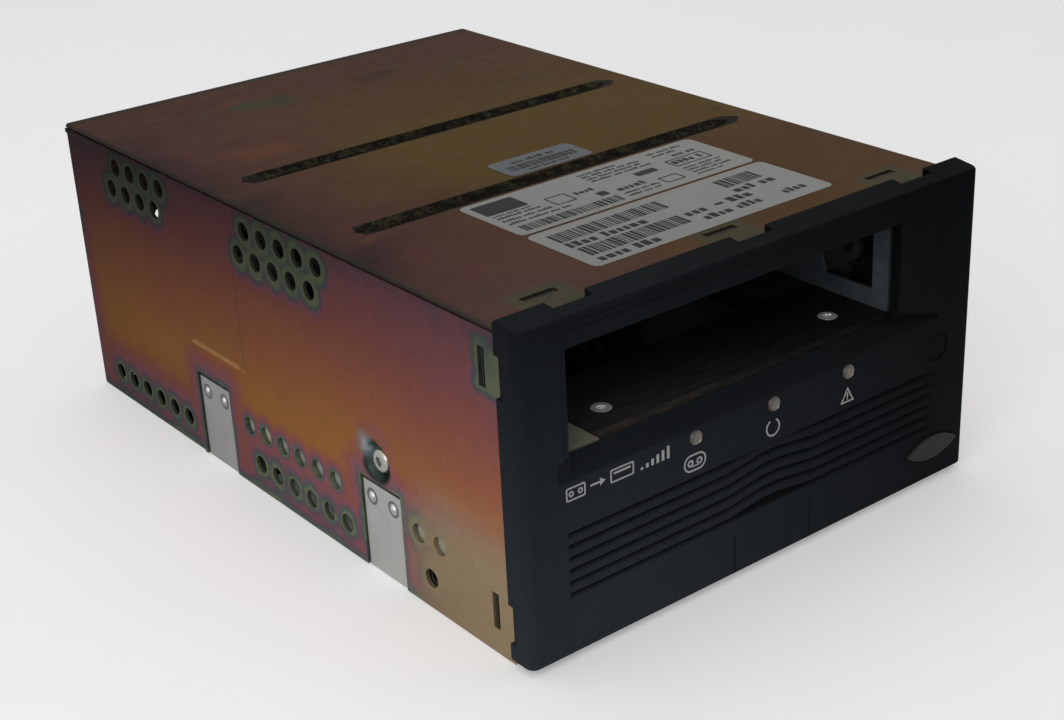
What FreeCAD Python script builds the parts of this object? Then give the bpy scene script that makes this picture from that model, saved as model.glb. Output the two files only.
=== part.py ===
import FreeCAD, Part
import math
import os

V = FreeCAD.Vector

# Internal data tape drive for a full-height 5.25 inch bay, in millimetres.
# While it is built, y = 0 is the plane where the bezel meets the chassis: the
# bezel is at negative y and the chassis runs back to chassis_depth. x is across,
# positive to the right as seen from the front, and z = 0 is the underside.
# Every piece is moved at the end, so that the origin is under the middle.

# ---------------------------------------------------------------- enclosure
chassis_width = 146.05
chassis_height = 83.6
chassis_depth = 208.0
sheet = 1.0
slip = 0.25                      # gap left between pieces that slide together
over = 1.0                       # how far a cut runs past the face it opens
near = 0.03                      # edges closer than this to a plane are on it
cover_edge = 0.45                # the top cover is this much narrower each side
cover_round = 0.8
vent_radius = 2.5
vent_pitch = 8.5
vent_firsts = (152.7, 157.0, 72.1, 76.3, 152.7, 72.8, 68.8, 27.6)
vent_counts = (4, 4, 5, 5, 6, 6, 5, 2)
vent_drops = (6.6, 13.7, 6.4, 13.7)          # the upper rows, from the top
vent_levels = (7.9, 18.9, 8.2, 19.2)         # the lower rows, from the underside
rail_row = 6                     # this row also opens the rail
mount_pitch = 79.25              # mounting holes, front to back
mount_inset = 3.175              # lower mounting holes, from each side
mount_y = 32.0
mount_z = 8.5
mount_radius = 1.25              # tapping size of an M3 thread
mount_thread = 3.4
bead_ys = (70.3, 123.4)          # stiffening beads across the top
bead_width = 7.0
bead_floor = 3.2
bead_depth = 1.5
bead_inset = 10.025
bead_point = 6.0
step_depth = 0.45                # rear part of each side is pressed in
step_y = 114.0
step_z = 34.5
step_foot_y = 144.2
step_drop = 2.3
step_slope = 0.7
notch_ys = (51.9, 134.1)         # open notches in the lower edge of each side
notch_half = 8.7
notch_height = 26.1
dimple_z = 32.2
dimple_radius = 5.3
dimple_floor = 3.9
dimple_depth = 2.2
rail_start = 12.0
rail_height = 24.8
tab_gap = 0.6
tab_inset = 0.5
button_spot = 4.6                # half-sheared buttons on each tab
button_spot_z = 20.8
button_spot_radius = 1.7
button_spot_proud = 0.35
pad_length = 12.0
pad_width = 5.3
pad_foot = 5.0                   # the foot of each pad carries the lower thread
pad_gap = 0.1

# ---------------------------------------------------------------- bezel
bezel_side = 1.175               # the bezel stands out this much each side
bezel_rise = 2.5                 # and above the top
bezel_z = 1.7
bezel_depth = 7.6
bezel_wall = 3.2
bezel_corner = 2.5
bezel_draft = 1.1                # the top slopes down to the front by this much
bezel_edge = 0.7
slot_left = 12.4                 # from the chassis side to the cartridge opening
slot_right = 27.25
slot_drop = 32.4                 # sill of the opening, from the top
slot_height = 26.4
slot_lead = 3.2                  # sloped lip under the opening
flare_reach = 15.0
flare_rise = 3.2
flare_tip = 0.5
frame_step = 0.55                # shallow step framing the opening
frame_side = 1.9
frame_top = 3.9
frame_fade_in = 25.775           # its right end fades out around the opening's
frame_fade_out = 9.225
pocket_left = 1.9                # the opening widens behind the front wall
pocket_right = 8.8
pocket_low = 3.7
pocket_high = 2.9
groove_drop = 17.7               # from the sill of the opening
groove_pitch = 3.1
groove_count = 6
groove_depth = 0.9
groove_inset = 12.0
groove_fade = 8.2
ridge_height = 0.9
wave_rise = 1.5
wave_xs = (-13.0, -2.0, 3.5, 15.5)
lamp_xs = (-23.8, 1.6, 27.4)
lamp_drop = 7.4
lamp_radius = 2.0
lamp_proud = 0.9
lamp_fit = 0.05
lamp_collar = 2.6
lamp_collar_depth = 1.2
roundel_inset = 13.0
roundel_drop = 11.6
roundel_radius = 3.9
roundel_depth = 0.25
button_inset = 13.9
button_z = 11.1
button_width = 19.4
button_height = 6.6
button_proud = 0.9
button_crown = 0.35
button_gap = 0.25
button_flange_width = 15.0
button_flange_height = 9.0
button_flange = 1.2
button_stem = 1.5
button_stem_end = 3.8
spring_radius = 2.6
spring_wire = 0.25
spring_turns = 4
switch_board_y = 6.6
switch_board_half = 9.2
switch_board_top = 20.0
switch_radius = 1.8
switch_reach = 1.6
clip_width = 9.2
clip_play = 0.25
clip_window = 11.3
clip_window_depth = 3.0
clip_window_side = 10.2
clip_window_side_depth = 2.4
clip_xs = (-54.5, 0.2, 55.7)     # snap clips along the top
clip_low = 11.5                  # snap clips on each side
clip_drop = 10.4
clip_top_y = 8.9                 # middle of the slots they reach into
clip_side_y = 6.3
clip_slot = 2.4
clip_thick = 1.4
clip_end = 1.2
clip_barb = 0.6

# ---------------------------------------------------------------- transport
deck_z = 30.2
deck_thick = 4.0
deck_front = 3.0
deck_back = 194.5
deck_corner = 6.0
leg_inset = 14.025
leg_ys = (16.0, 98.0, 182.0)
leg_radius = 4.0
shank = 1.15                     # M3 shank drawn at its root size
shank_core = 1.25                # tapped hole
shank_free = 1.6                 # clearance hole
flat_head = 2.6
flat_depth = 1.2
pan_head = 2.9
pan_depth = 1.6
side_head = 3.2
side_depth = 1.9
screw_reach = 6.0
floor_drop = 0.8
floor_thick = 1.6
floor_left_gap = 12.625
floor_right_reach = 4.325
floor_front = -0.5
floor_back = 27.0
floor_lip = 2.2
floor_lip_rise = 0.6
floor_screw_left = 10.2
floor_screw_right = 12.3
floor_screw_y = 9.0
block_front = 5.0
block_back = 13.0
block_relief = 12.0
bay_back = 98.0
bay_right_reach = 4.625          # receiver walls, outside the opening
bay_left_reach = 0.775
bay_headroom = 1.0
wall_front = 0.25
window_y = 5.6
window_back = 21.9
window_rise = 3.8
window_height = 18.0
window_slope_y = 27.4
shelf_gap = 0.25
shelf_front = -2.5
shelf_width = 14.4
lid_front = 2.0
motor_radius = 24.0
motor_height = 17.0
motor_ring = 20.0
motor_screw_count = 3
motor_base = 2.0
motor_base_radius = 27.0
running = 0.05                   # radial clearance of every running fit
spindle = 3.0
spindle_hole = 4.2
spindle_foot = 15.0
reel_y = 148.5
reel_inset = 28.525
reel_hub = 20.0
reel_bottom = 36.0
reel_height = 17.5
reel_web = 1.2
reel_slot = 2.4
driver_x = -7.4
driver_y = 52.0
driver_disc = 20.0
driver_base = 34.8
driver_disc_top = 37.0
driver_hub = 15.0
driver_top = 46.8
driver_teeth = 24
driver_tooth = 2.0
driver_ring = 11.0
roller_places = ((26.525, 106.5), (16.225, 117.5), (16.225, 156.5), (24.525, 172.2))
roller_radius = 5.5
roller_rim = 7.0
roller_rim_height = 2.0
roller_base = 35.5
roller_top = 52.3
roller_post = 2.0
roller_cap = 53.4
head_y = 137.0
head_inset = 13.025              # from the left side, as the next four
head_rod_inset = 7.425
head_rod_half = 6.0
head_rod_radius = 1.5
head_rod_top = 60.0
carriage_near = 4.425
carriage_far = 17.625
carriage_half = 8.5
carriage_z = 40.0
carriage_height = 13.0
bridge_height = 1.6
head_plate = 2.0
head_plate_half = 7.0
head_nose = 1.9
head_nose_half = 2.2
head_margin = 1.5
stepper_radius = 5.6
stepper_height = 14.0
screw_foot = 18.0
arm_inset = 11.025
arm_y = 103.0
arm_z = 54.6
arm_thick = 1.8
arm_hub = 3.6
arm_length = 24.0
arm_tip = 2.2
arm_post = 2.0
arm_post_top = 57.4

# ---------------------------------------------------------------- loading gear
plate_inset = 11.025
plate_thick = 1.2
plate_front = 9.0
plate_back = 62.0
plate_drop = 8.6
plate_foot = 6.0
gear_module = 0.8
gear_teeth = 28
pinion_teeth = 10
gear_gap = 1.0
gear_width = 4.0
gear_y = 32.0
gear_rise = 6.8                  # above the sill of the opening
gear_root = 1.25                 # in modules, under the pitch circle
tooth_half_root = 0.3            # in teeth
tooth_half_tip = 0.1
gear_slack = 0.15
gear_post = 2.0
gear_post_reach = 6.4
gear_bore_hub = 4.5
load_motor_radius = 9.0
load_motor_length = 6.0
load_shaft = 1.0
load_shaft_hole = 1.4
lever_y = 16.0
lever_rise = 11.8
lever_reach = 9.0
lever_thick = 1.8
lever_post = 1.5
lever_post_reach = 9.6
lever_hub = 3.4
lever_foot_y = 34.0
lever_foot_drop = 1.2
lever_foot = 2.4

# ---------------------------------------------------------------- electronics
board_z = 7.0
board_thick = 1.6
board_inset = 5.0                # from the legs
board_front = 22.0
board_back = 198.0
spacer_inset = 6.0
spacer_ys = (27.0, 186.0)
spacer_radius = 2.8
chip_height = 2.6
chips = (                        # place across as a share of the half width, y, sizes
    (-0.63, 96.0, 24.0, 24.0), (0.0, 98.0, 20.0, 20.0), (-0.74, 132.0, 11.0, 18.0),
    (-0.74, 164.0, 14.0, 14.0), (0.7, 48.0, 20.0, 14.0), (0.7, 132.0, 14.0, 20.0),
    (-0.78, 54.0, 9.0, 18.0), (0.15, 180.0, 22.0, 8.0))
cans = ((0.44, 34.0), (0.6, 30.0), (-0.44, 180.0), (0.81, 70.0), (0.48, 76.0))
can_radius = 3.0
can_height = 4.0
sink_share = 0.72
sink_y = 98.0
sink_width = 22.0
sink_length = 26.0
sink_base = 2.0
sink_height = 14.0
sink_fins = 7
sink_fin = 1.2
lamp_board_half = 34.0
lamp_board_under = 5.4
lamp_board_over = 3.4
rear_y = 205.0
signal_x = -22.0
signal_width = 57.0
signal_height = 10.6
signal_front = 190.0
socket_back = 207.4
signal_recess_width = 49.0
signal_recess_height = 5.6
signal_recess = 5.0
signal_blade = 1.8
power_x = 40.0
power_width = 21.6
power_height = 9.8
power_wall = 1.3
power_recess = 8.0
power_pins = 4
power_pitch = 5.08
power_pin = 1.05
header_x = 17.0
header_pins = 6
header_pitch = 2.54
header_pin = 0.32
header_base = 2.5
header_width = 16.0
header_rows = 2
socket_play = 0.25
fan_inset = 29.025
fan_drop = 25.6
fan_size = 40.0
fan_depth = 10.0
fan_corner = 3.0
fan_bore = 19.0
fan_hub = 9.0
fan_base = 1.6
fan_spokes = 4
fan_spoke_turn = 45.0
fan_spoke = 1.6
fan_pin = 1.5
fan_blades = 7
fan_blade = 1.0
fan_tip = 0.6
fan_pitch_angle = 38.0
fan_blade_length = 6.6
fan_screw_half = 16.0
fan_gap = 0.4
fan_back_gap = 0.8
grille_radius = 2.2
grille_pitch = 6.0
rear_vents = 7

# ---------------------------------------------------------------- worked out
half = chassis_width / 2
inside = half - sheet
vent_zs = tuple(chassis_height - drop for drop in vent_drops) + vent_levels
vent_rows = tuple(zip(vent_firsts, vent_zs, vent_counts))
mount_ys = (mount_y, mount_y + mount_pitch)
mount_x = half - mount_inset
bead_half = half - bead_inset
step_top = chassis_height - step_drop
front = -bezel_depth
bezel_half = half + bezel_side
bezel_top = chassis_height + bezel_rise
skin = front + bezel_wall        # back of the bezel's front wall
slot_x0 = -half + slot_left
slot_x1 = half - slot_right
slot_z = chassis_height - slot_drop
slot_top = slot_z + slot_height
groove_top = slot_z - groove_drop
groove_half = bezel_half - groove_inset
lamp_z = slot_z - lamp_drop
roundel = (bezel_half - roundel_inset, slot_z - roundel_drop)
button_x = bezel_half - button_inset
clip_zs = (clip_low, chassis_height - clip_drop)
wall_height = chassis_height - sheet - slip
rail_face = inside - slip
rail_end = step_foot_y - tab_gap
panel_half = inside - step_depth - slip
floor_half = rail_face - sheet - slip
deck_half = half - dimple_depth - sheet - slip
deck_top = deck_z + deck_thick
leg_x = half - leg_inset
floor_top = slot_z - floor_drop
floor_left = slot_x0 + floor_left_gap
floor_right = slot_x1 + floor_right_reach
floor_screw_xs = (floor_left + floor_screw_left, floor_right - floor_screw_right)
shelf_z = floor_top - floor_thick
wall_right = slot_x1 + bay_right_reach
wall_left = slot_x0 - bay_left_reach
wall_top = slot_top + bay_headroom
window_z = slot_z + window_rise
window_top = window_z + window_height
reel_radius = half - reel_inset
roller_spots = tuple((inset - half, y) for inset, y in roller_places)
head_x = head_inset - half
head_rod_x = head_rod_inset - half
carriage_left = carriage_near - half
carriage_right = carriage_far - half
arm_x = arm_inset - half
plate_x = half - plate_inset
plate_top = chassis_height - plate_drop
gear_right = plate_x - gear_gap
gear_left = gear_right - gear_width
gear_z = slot_z + gear_rise
lever_z = slot_z + lever_rise
lever_left = plate_x - lever_reach
lever_foot_z = slot_z - lever_foot_drop
board_top = board_z + board_thick
board_half = leg_x - board_inset
spacer_x = board_half - spacer_inset
sink_x = sink_share * board_half
fan_x = half - fan_inset
fan_z = chassis_height - fan_drop
front_reach = bezel_depth + max(lamp_proud, button_proud)
frame_shift = -(chassis_depth - front_reach) / 2
pieces = {}


# ---------------------------------------------------------------- helpers
def box(x0, x1, y0, y1, z0, z1):
    return Part.makeBox(x1 - x0, y1 - y0, z1 - z0, V(x0, y0, z0))


def point(axis, level, a, b):
    """Point at a level along an axis; a and b are the other two coordinates in order."""
    return {"x": V(level, a, b), "y": V(a, level, b), "z": V(a, b, level)}[axis]


def along(axis):
    return {"x": V(1, 0, 0), "y": V(0, 1, 0), "z": V(0, 0, 1)}[axis]


def rod(axis, centre, radius, start, end):
    return Part.makeCylinder(radius, end - start, point(axis, start, *centre), along(axis))


def cone(axis, centre, radius, end_radius, start, end):
    return Part.makeCone(radius, end_radius, end - start, point(axis, start, *centre), along(axis))


def ring(axis, centre, outer, inner, start, end):
    return rod(axis, centre, outer, start, end).cut(rod(axis, centre, inner, start - over, end + over))


def outline(spots, axis, level):
    corners = [point(axis, level, a, b) for a, b in spots]
    return Part.makePolygon(corners + [corners[0]])


def prism(spots, axis, start, end):
    return Part.Face(outline(spots, axis, start)).extrude(along(axis) * (end - start))


def blend(first, second, axis, start, end):
    """Straight-sided solid between two outlines with the same number of corners."""
    return Part.makeLoft([outline(first, axis, start), outline(second, axis, end)], True, True)


def fuse(shapes):
    return shapes[0].multiFuse(shapes[1:]).removeSplitter()


def rounded(shape, radius, test):
    """Fillet the edges whose middle passes the test."""
    return shape.makeFillet(radius, [edge for edge in shape.Edges if test(edge.CenterOfMass)])


def mirrored(shape):
    return shape.mirror(V(0, 0, 0), V(1, 0, 0))


def both(shapes):
    return shapes + [mirrored(shape) for shape in shapes]


def moved(shape, x, y, z):
    copy = shape.copy()
    copy.translate(V(x, y, z))
    return copy


def turned(shape, centre, axis, degrees):
    copy = shape.copy()
    copy.rotate(centre, axis, degrees)
    return copy


def pan_screw(axis, centre, seat, way, length, head, depth):
    """Pan-head screw: the head stands on the seat, the shank runs the other way."""
    top = seat + way * depth
    tip = seat - way * length
    cap = rod(axis, centre, head, min(seat, top), max(seat, top))
    crown = depth / 2
    cap = rounded(cap, crown, lambda spot: abs(spot.dot(along(axis)) - top) < near)
    return fuse([cap, rod(axis, centre, shank, min(seat, tip), max(seat, tip))])


def flat_screw(centre, seat, way, length):
    """Countersunk screw along z whose head is flush with the seat."""
    neck = seat - way * flat_depth
    tip = seat - way * length
    head = cone("z", centre, flat_head, shank, seat, neck) if way < 0 else \
        cone("z", centre, shank, flat_head, neck, seat)
    return fuse([head, rod("z", centre, shank, min(neck, tip), max(neck, tip))])


def sink_cut(centre, seat, way, depth):
    """Countersink and clearance hole for a flat screw, cut from the seat."""
    neck = seat - way * (flat_depth + running)
    deep = seat - way * depth
    wide = flat_head + running
    head = cone("z", centre, wide, shank_free, seat, neck) if way < 0 else \
        cone("z", centre, shank_free, wide, neck, seat)
    return [head, rod("z", centre, shank_free, min(seat, deep), max(seat, deep))]


# ---------------------------------------------------------------- enclosure
def make_top_cover():
    edge = half - cover_edge
    low = chassis_height - sheet
    plate = box(-edge, edge, 0, chassis_depth, low, chassis_height)
    plate = rounded(plate, cover_round,
                    lambda spot: abs(spot.x) > edge - slip and spot.z > chassis_height - slip)
    cuts = []
    pressed = []
    for y in bead_ys:
        for level, grow, kind in ((chassis_height, 0, cuts), (low, sheet, pressed)):
            wide = canoe(bead_half + grow / 2, bead_width / 2 + grow / 2, bead_point, y)
            narrow = canoe(bead_half - bead_point / 2 + grow / 2, bead_floor / 2 + grow / 2,
                           bead_point, y)
            kind.append(blend(wide, narrow, "z", level, level - bead_depth))
    slots = [box(x - clip_width / 2 - clip_play, x + clip_width / 2 + clip_play,
                 clip_top_y - clip_slot / 2, clip_top_y + clip_slot / 2, low - over,
                 chassis_height + over) for x in clip_xs]
    pieces["top_cover"] = fuse([plate] + pressed).cut(cuts + slots)


def canoe(length, width, tip, y):
    return [(-length, y), (-length + tip, y - width), (length - tip, y - width), (length, y),
            (length - tip, y + width), (-length + tip, y + width)]


def step_outline(inset):
    return [(step_y + inset, step_top - inset), (chassis_depth + over, step_top - inset),
            (chassis_depth + over, -over), (step_foot_y + inset, -over),
            (step_foot_y + inset, step_z + inset), (step_y + inset, step_z + inset)]


def row_holes(rows, start, end):
    return [rod("x", (first + i * vent_pitch, z), vent_radius, start, end)
            for first, z, count in rows for i in range(count)]


def make_wall():
    plate = box(-half, -inside, 0, chassis_depth, 0, wall_height)
    backing = prism(step_outline(0), "x", -inside - sheet / 2, -inside + step_depth)
    backing = backing.common(box(-half, 0, 0, chassis_depth, 0, wall_height))
    spot = (notch_ys[0], dimple_z)
    cup = cone("x", spot, dimple_radius + sheet / 2, dimple_floor + sheet / 2,
               -half + sheet / 2, -half + sheet + dimple_depth)
    cuts = [blend(step_outline(0), step_outline(step_slope), "x", -half, -half + step_depth)]
    cuts.append(cone("x", spot, dimple_radius, dimple_floor, -half, -half + dimple_depth))
    cuts.append(rod("x", spot, shank_free, -half, -deck_half))
    cuts += row_holes(vent_rows, -half - over, -inside + over)
    cuts += [rod("x", (y, mount_z), vent_radius, -half - over, -inside + over) for y in mount_ys]
    cuts += [box(-half - over, -inside + over, y - notch_half, y + notch_half, -over, notch_height)
             for y in notch_ys]
    cuts += [box(-half - over, -inside + over, clip_side_y - clip_slot / 2,
                 clip_side_y + clip_slot / 2, z - clip_width / 2 - clip_play,
                 z + clip_width / 2 + clip_play) for z in clip_zs]
    wall = fuse([plate, backing, cup]).cut(cuts)
    pieces["left_wall"] = wall
    pieces["right_wall"] = mirrored(wall)


def make_rail():
    """Inner rail in lengths between the mounting pads, and the tabs in the wall's notches."""
    sheet_plate = box(-rail_face, -rail_face + sheet, rail_start, rail_end, 0, rail_height)
    width = notch_half - tab_gap
    face = -half + tab_inset
    tabs = []
    for y in notch_ys:
        tab = [box(face, -rail_face + sheet / 2, y - width, y + width, 0, rail_height)]
        tab += [cone("x", (y + side, button_spot_z), button_spot_radius / 2, button_spot_radius,
                     face - button_spot_proud, face + sheet / 2)
                for side in (-button_spot, button_spot)]
        tabs.append(fuse(tab))
    cuts = row_holes(vent_rows[rail_row:rail_row + 1], -half, -rail_face + sheet + over)
    cuts += [box(-half, -rail_face + sheet + over, y - width, y + width, -over,
                 rail_height + over) for y in notch_ys]
    reach = pad_length / 2 + pad_gap
    cuts += [box(-half, -rail_face + sheet + over, y - reach, y + reach, -over,
                 rail_height + over) for y in mount_ys]
    plates = sheet_plate.cut(cuts).Solids
    pieces["left_rail"] = Part.makeCompound(plates + tabs)
    pieces["right_rail"] = mirrored(pieces["left_rail"])


def make_pads():
    """Tapped mounting pads: a foot with the lower thread and a block with the side thread."""
    solids = []
    for y in mount_ys:
        for low, high in ((0, pad_foot), (pad_foot, rail_height)):
            solids.append(box(-rail_face, -rail_face + pad_width, y - pad_length / 2,
                              y + pad_length / 2, low, high))
        solids[-2] = solids[-2].cut(rod("z", (-mount_x, y), mount_radius, -over, mount_thread))
        solids[-1] = solids[-1].cut(rod("x", (y, mount_z), mount_radius, -half,
                                        -rail_face + mount_thread))
    pieces["mount_pads"] = Part.makeCompound(both(solids))


def leg_spots():
    return [(side * leg_x, y) for side in (-1, 1) for y in leg_ys]


def make_bottom():
    plate = box(-floor_half, floor_half, slip, rear_y - slip, 0, sheet)
    cuts = []
    for y in mount_ys:
        cuts += both([box(-half, -rail_face + pad_width + slip, y - pad_length / 2 - slip,
                          y + pad_length / 2 + slip, -over, sheet + over)])
    for spot in leg_spots():
        cuts += sink_cut(spot, 0, -1, sheet + over)
    pieces["bottom_cover"] = plate.cut(cuts)
    pieces["bottom_screws"] = Part.makeCompound(
        [flat_screw(spot, 0, -1, screw_reach) for spot in leg_spots()])


def grille_spots():
    spots = []
    row = grille_pitch * math.sqrt(3) / 2
    reach = int(fan_bore / row)
    for j in range(-reach, reach + 1):
        for i in range(-reach - 1, reach + 2):
            a = (i + j % 2 / 2) * grille_pitch
            if math.hypot(a, j * row) < fan_bore - grille_radius:
                spots.append((fan_x + a, fan_z + j * row))
    return spots


def fan_screw_spots():
    return [(fan_x + a, fan_z + b) for a in (-fan_screw_half, fan_screw_half)
            for b in (-fan_screw_half, fan_screw_half)]


def make_rear_panel():
    plate = box(-panel_half, panel_half, rear_y, rear_y + sheet, sheet, wall_height)
    cuts = [rod("y", spot, grille_radius, rear_y - over, rear_y + sheet + over)
            for spot in grille_spots()]
    cuts += [rod("y", spot, shank_free, rear_y - over, rear_y + sheet + over)
             for spot in fan_screw_spots()]
    for x, width, tall in ((signal_x, signal_width, signal_height),
                           (power_x, power_width, power_height),
                           (header_x, header_width, header_rows * header_pitch)):
        cuts.append(box(x - width / 2 - socket_play, x + width / 2 + socket_play, rear_y - over,
                        rear_y + sheet + over, board_top - socket_play,
                        board_top + tall + socket_play))
    for row in (-1, 1):
        cuts += [rod("y", (signal_x + (i - (rear_vents - 1) / 2) * vent_pitch,
                           fan_z + row * vent_pitch), vent_radius, rear_y - over,
                     rear_y + sheet + over) for i in range(rear_vents)]
    pieces["rear_panel"] = plate.cut(cuts)


# ---------------------------------------------------------------- bezel
def lens(grow, crown):
    """Pointed oval of the eject button as a closed wire across y, drawn around its middle."""
    a = button_width / 2 + grow - crown
    b = button_height / 2 + grow - crown
    tips = (V(-a, 0, 0), V(a, 0, 0))
    upper = Part.Arc(tips[0], V(0, 0, b), tips[1]).toShape()
    lower = Part.Arc(tips[1], V(0, 0, -b), tips[0]).toShape()
    return Part.Wire([upper, lower])


def lens_solid(grow, start, end):
    wire = moved(lens(grow, 0), button_x, start, button_z)
    return Part.Face(wire).extrude(V(0, end - start, 0))


def ridge(z, wave):
    """Ridge between two grooves: flat in front, sloping back above, humped in the middle."""
    def line(lift):
        path = [(-groove_half, 0)] + list(zip(wave_xs, (0, wave, wave, 0))) + [(groove_half, 0)]
        return [(x, z + rise + lift) for x, rise in path]
    slope = groove_pitch - running
    narrow = line(0) + line(ridge_height)[::-1]
    broad = line(0) + line(slope)[::-1]
    return blend(narrow, broad, "y", front, front + groove_depth)


def make_bezel():
    body = prism([(0, bezel_z), (front, bezel_z), (front, bezel_top - bezel_draft), (0, bezel_top)],
                 "x", -bezel_half, bezel_half)
    body = rounded(body, bezel_corner,
                   lambda spot: spot.y < front + slip and abs(spot.x) > bezel_half - slip)
    body = rounded(body, bezel_edge, lambda spot: spot.y < front + slip and abs(spot.x) < slip)
    low = groove_top - groove_count * groove_pitch
    recess = prism([(-groove_half, front - over), (-groove_half, front + groove_depth),
                    (groove_half - groove_fade, front + groove_depth), (groove_half, front),
                    (groove_half, front - over)], "z", low, groove_top)
    ridges = [ridge(groove_top - i * groove_pitch, wave_rise) for i in range(1, groove_count)]
    ridges.append(ridge(low, 0).common(recess))
    cuts = [recess.cut(ridges)]
    cuts.append(box(slot_x0, slot_x1, front - over, over, slot_z, slot_top))
    cuts.append(box(slot_x0 - pocket_left, slot_x1 + pocket_right, skin, over,
                    slot_z - pocket_low, slot_top + pocket_high))
    lead = [(front - over, slot_z - slot_lead), (front, slot_z - slot_lead), (skin, slot_z),
            (front, slot_z + over), (front - over, slot_z + over)]
    cuts.append(prism(lead, "x", slot_x0, slot_x1))
    wide = [(front, slot_z - slot_lead), (skin, slot_z), (front, slot_z + flare_rise)]
    tip = [(front, slot_z - slot_lead), (front + flare_tip, slot_z - slot_lead + flare_tip),
           (front, slot_z - slot_lead + 2 * flare_tip)]
    cuts.append(blend(wide, tip, "x", slot_x1, slot_x1 + flare_reach))
    cuts.append(prism([(slot_x0 - frame_side, front - over),
                       (slot_x0 - frame_side, front + frame_step),
                       (slot_x1 - frame_fade_in, front + frame_step), (slot_x1 + frame_fade_out, front),
                       (slot_x1 + frame_fade_out, front - over)], "z", slot_z, slot_top + frame_top))
    for x in lamp_xs:
        cuts.append(rod("y", (x, lamp_z), lamp_radius + lamp_fit, front - over, over))
        cuts.append(rod("y", (x, lamp_z), lamp_collar + lamp_fit, -lamp_collar_depth, over))
    cuts.append(rod("y", roundel, roundel_radius, front - over, front + roundel_depth))
    cuts.append(lens_solid(button_gap, front - over, over))
    cuts += [box(x - clip_window / 2, x + clip_window / 2, -clip_window_depth, over,
                 chassis_height, bezel_top + over) for x in clip_xs]
    side = [box(-bezel_half - over, -half, -clip_window_side_depth, over,
                z - clip_window_side / 2, z + clip_window_side / 2) for z in clip_zs]
    pieces["bezel"] = body.cut(cuts + both(side))


def make_clips():
    """Snap clips on the back of the bezel, hooked into the top and side slots."""
    arm = clip_width / 2
    level = chassis_height - sheet - slip
    solids = []
    for x in clip_xs:
        end = clip_top_y + clip_slot / 2 - slip
        solids.append(prism([(0, level - clip_thick), (end + clip_end, level - clip_thick),
                             (end + clip_end, level), (end, level),
                             (end - clip_slot / 4, level + slip + clip_barb),
                             (end - clip_slot / 2, level + slip + clip_barb),
                             (end - clip_slot / 2, level), (0, level)], "x", x - arm, x + arm))
    face = inside - slip
    for z in clip_zs:
        end = clip_side_y + clip_slot / 2 - slip
        hook = prism([(-face + clip_thick, 0), (-face + clip_thick, end + clip_end),
                      (-face, end + clip_end), (-face, end),
                      (-face - slip - clip_barb, end - clip_slot / 4),
                      (-face - slip - clip_barb, end - clip_slot / 2), (-face, end - clip_slot / 2),
                      (-face, 0)], "z", z - arm, z + arm)
        solids += both([hook])
    pieces["bezel_clips"] = Part.makeCompound(solids)


def make_lamps():
    pipes = []
    for x in lamp_xs:
        pipe = rod("y", (x, lamp_z), lamp_radius, front - lamp_proud, 0)
        pipe = rounded(pipe, lamp_proud, lambda spot: spot.y < front)
        collar = rod("y", (x, lamp_z), lamp_collar, -lamp_collar_depth, 0)
        pipes.append(fuse([pipe, collar]))
    pieces["status_lamps"] = Part.makeCompound(pipes)
    pieces["lamp_board"] = box(-lamp_board_half, lamp_board_half, 0, board_thick,
                               lamp_z - lamp_board_under, lamp_z + lamp_board_over)


def make_eject():
    crowned = Part.makeLoft([moved(lens(0, button_crown), button_x, front - button_proud, button_z),
                             moved(lens(0, 0), button_x, front - button_proud + button_crown,
                                   button_z)], True, True)
    body = lens_solid(0, front - button_proud + button_crown, slip)
    flange = box(button_x - button_flange_width / 2, button_x + button_flange_width / 2, slip,
                 slip + button_flange, button_z - button_flange_height / 2,
                 button_z + button_flange_height / 2)
    spot = (button_x, button_z)
    stem = rod("y", spot, button_stem, slip + button_flange, button_stem_end)
    pieces["eject_button"] = fuse([crowned, body, flange, stem])
    board = box(button_x - switch_board_half, button_x + switch_board_half, switch_board_y,
                switch_board_y + board_thick, sheet, switch_board_top)
    dome = rod("y", spot, switch_radius, switch_board_y - switch_reach, switch_board_y)
    pieces["eject_switch"] = fuse([board, dome])
    start = slip + button_flange + spring_wire
    length = switch_board_y - spring_wire - start
    helix = Part.makeHelix(length / spring_turns, length, spring_radius)
    wire = Part.Wire(Part.makeCircle(spring_wire, V(spring_radius, 0, 0), V(0, 1, 0)).Edges)
    coil = Part.Wire(helix.Edges).makePipeShell([wire], True, True)
    coil.rotate(V(0, 0, 0), V(1, 0, 0), -90)
    pieces["eject_spring"] = moved(coil, button_x, start, button_z)


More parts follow.
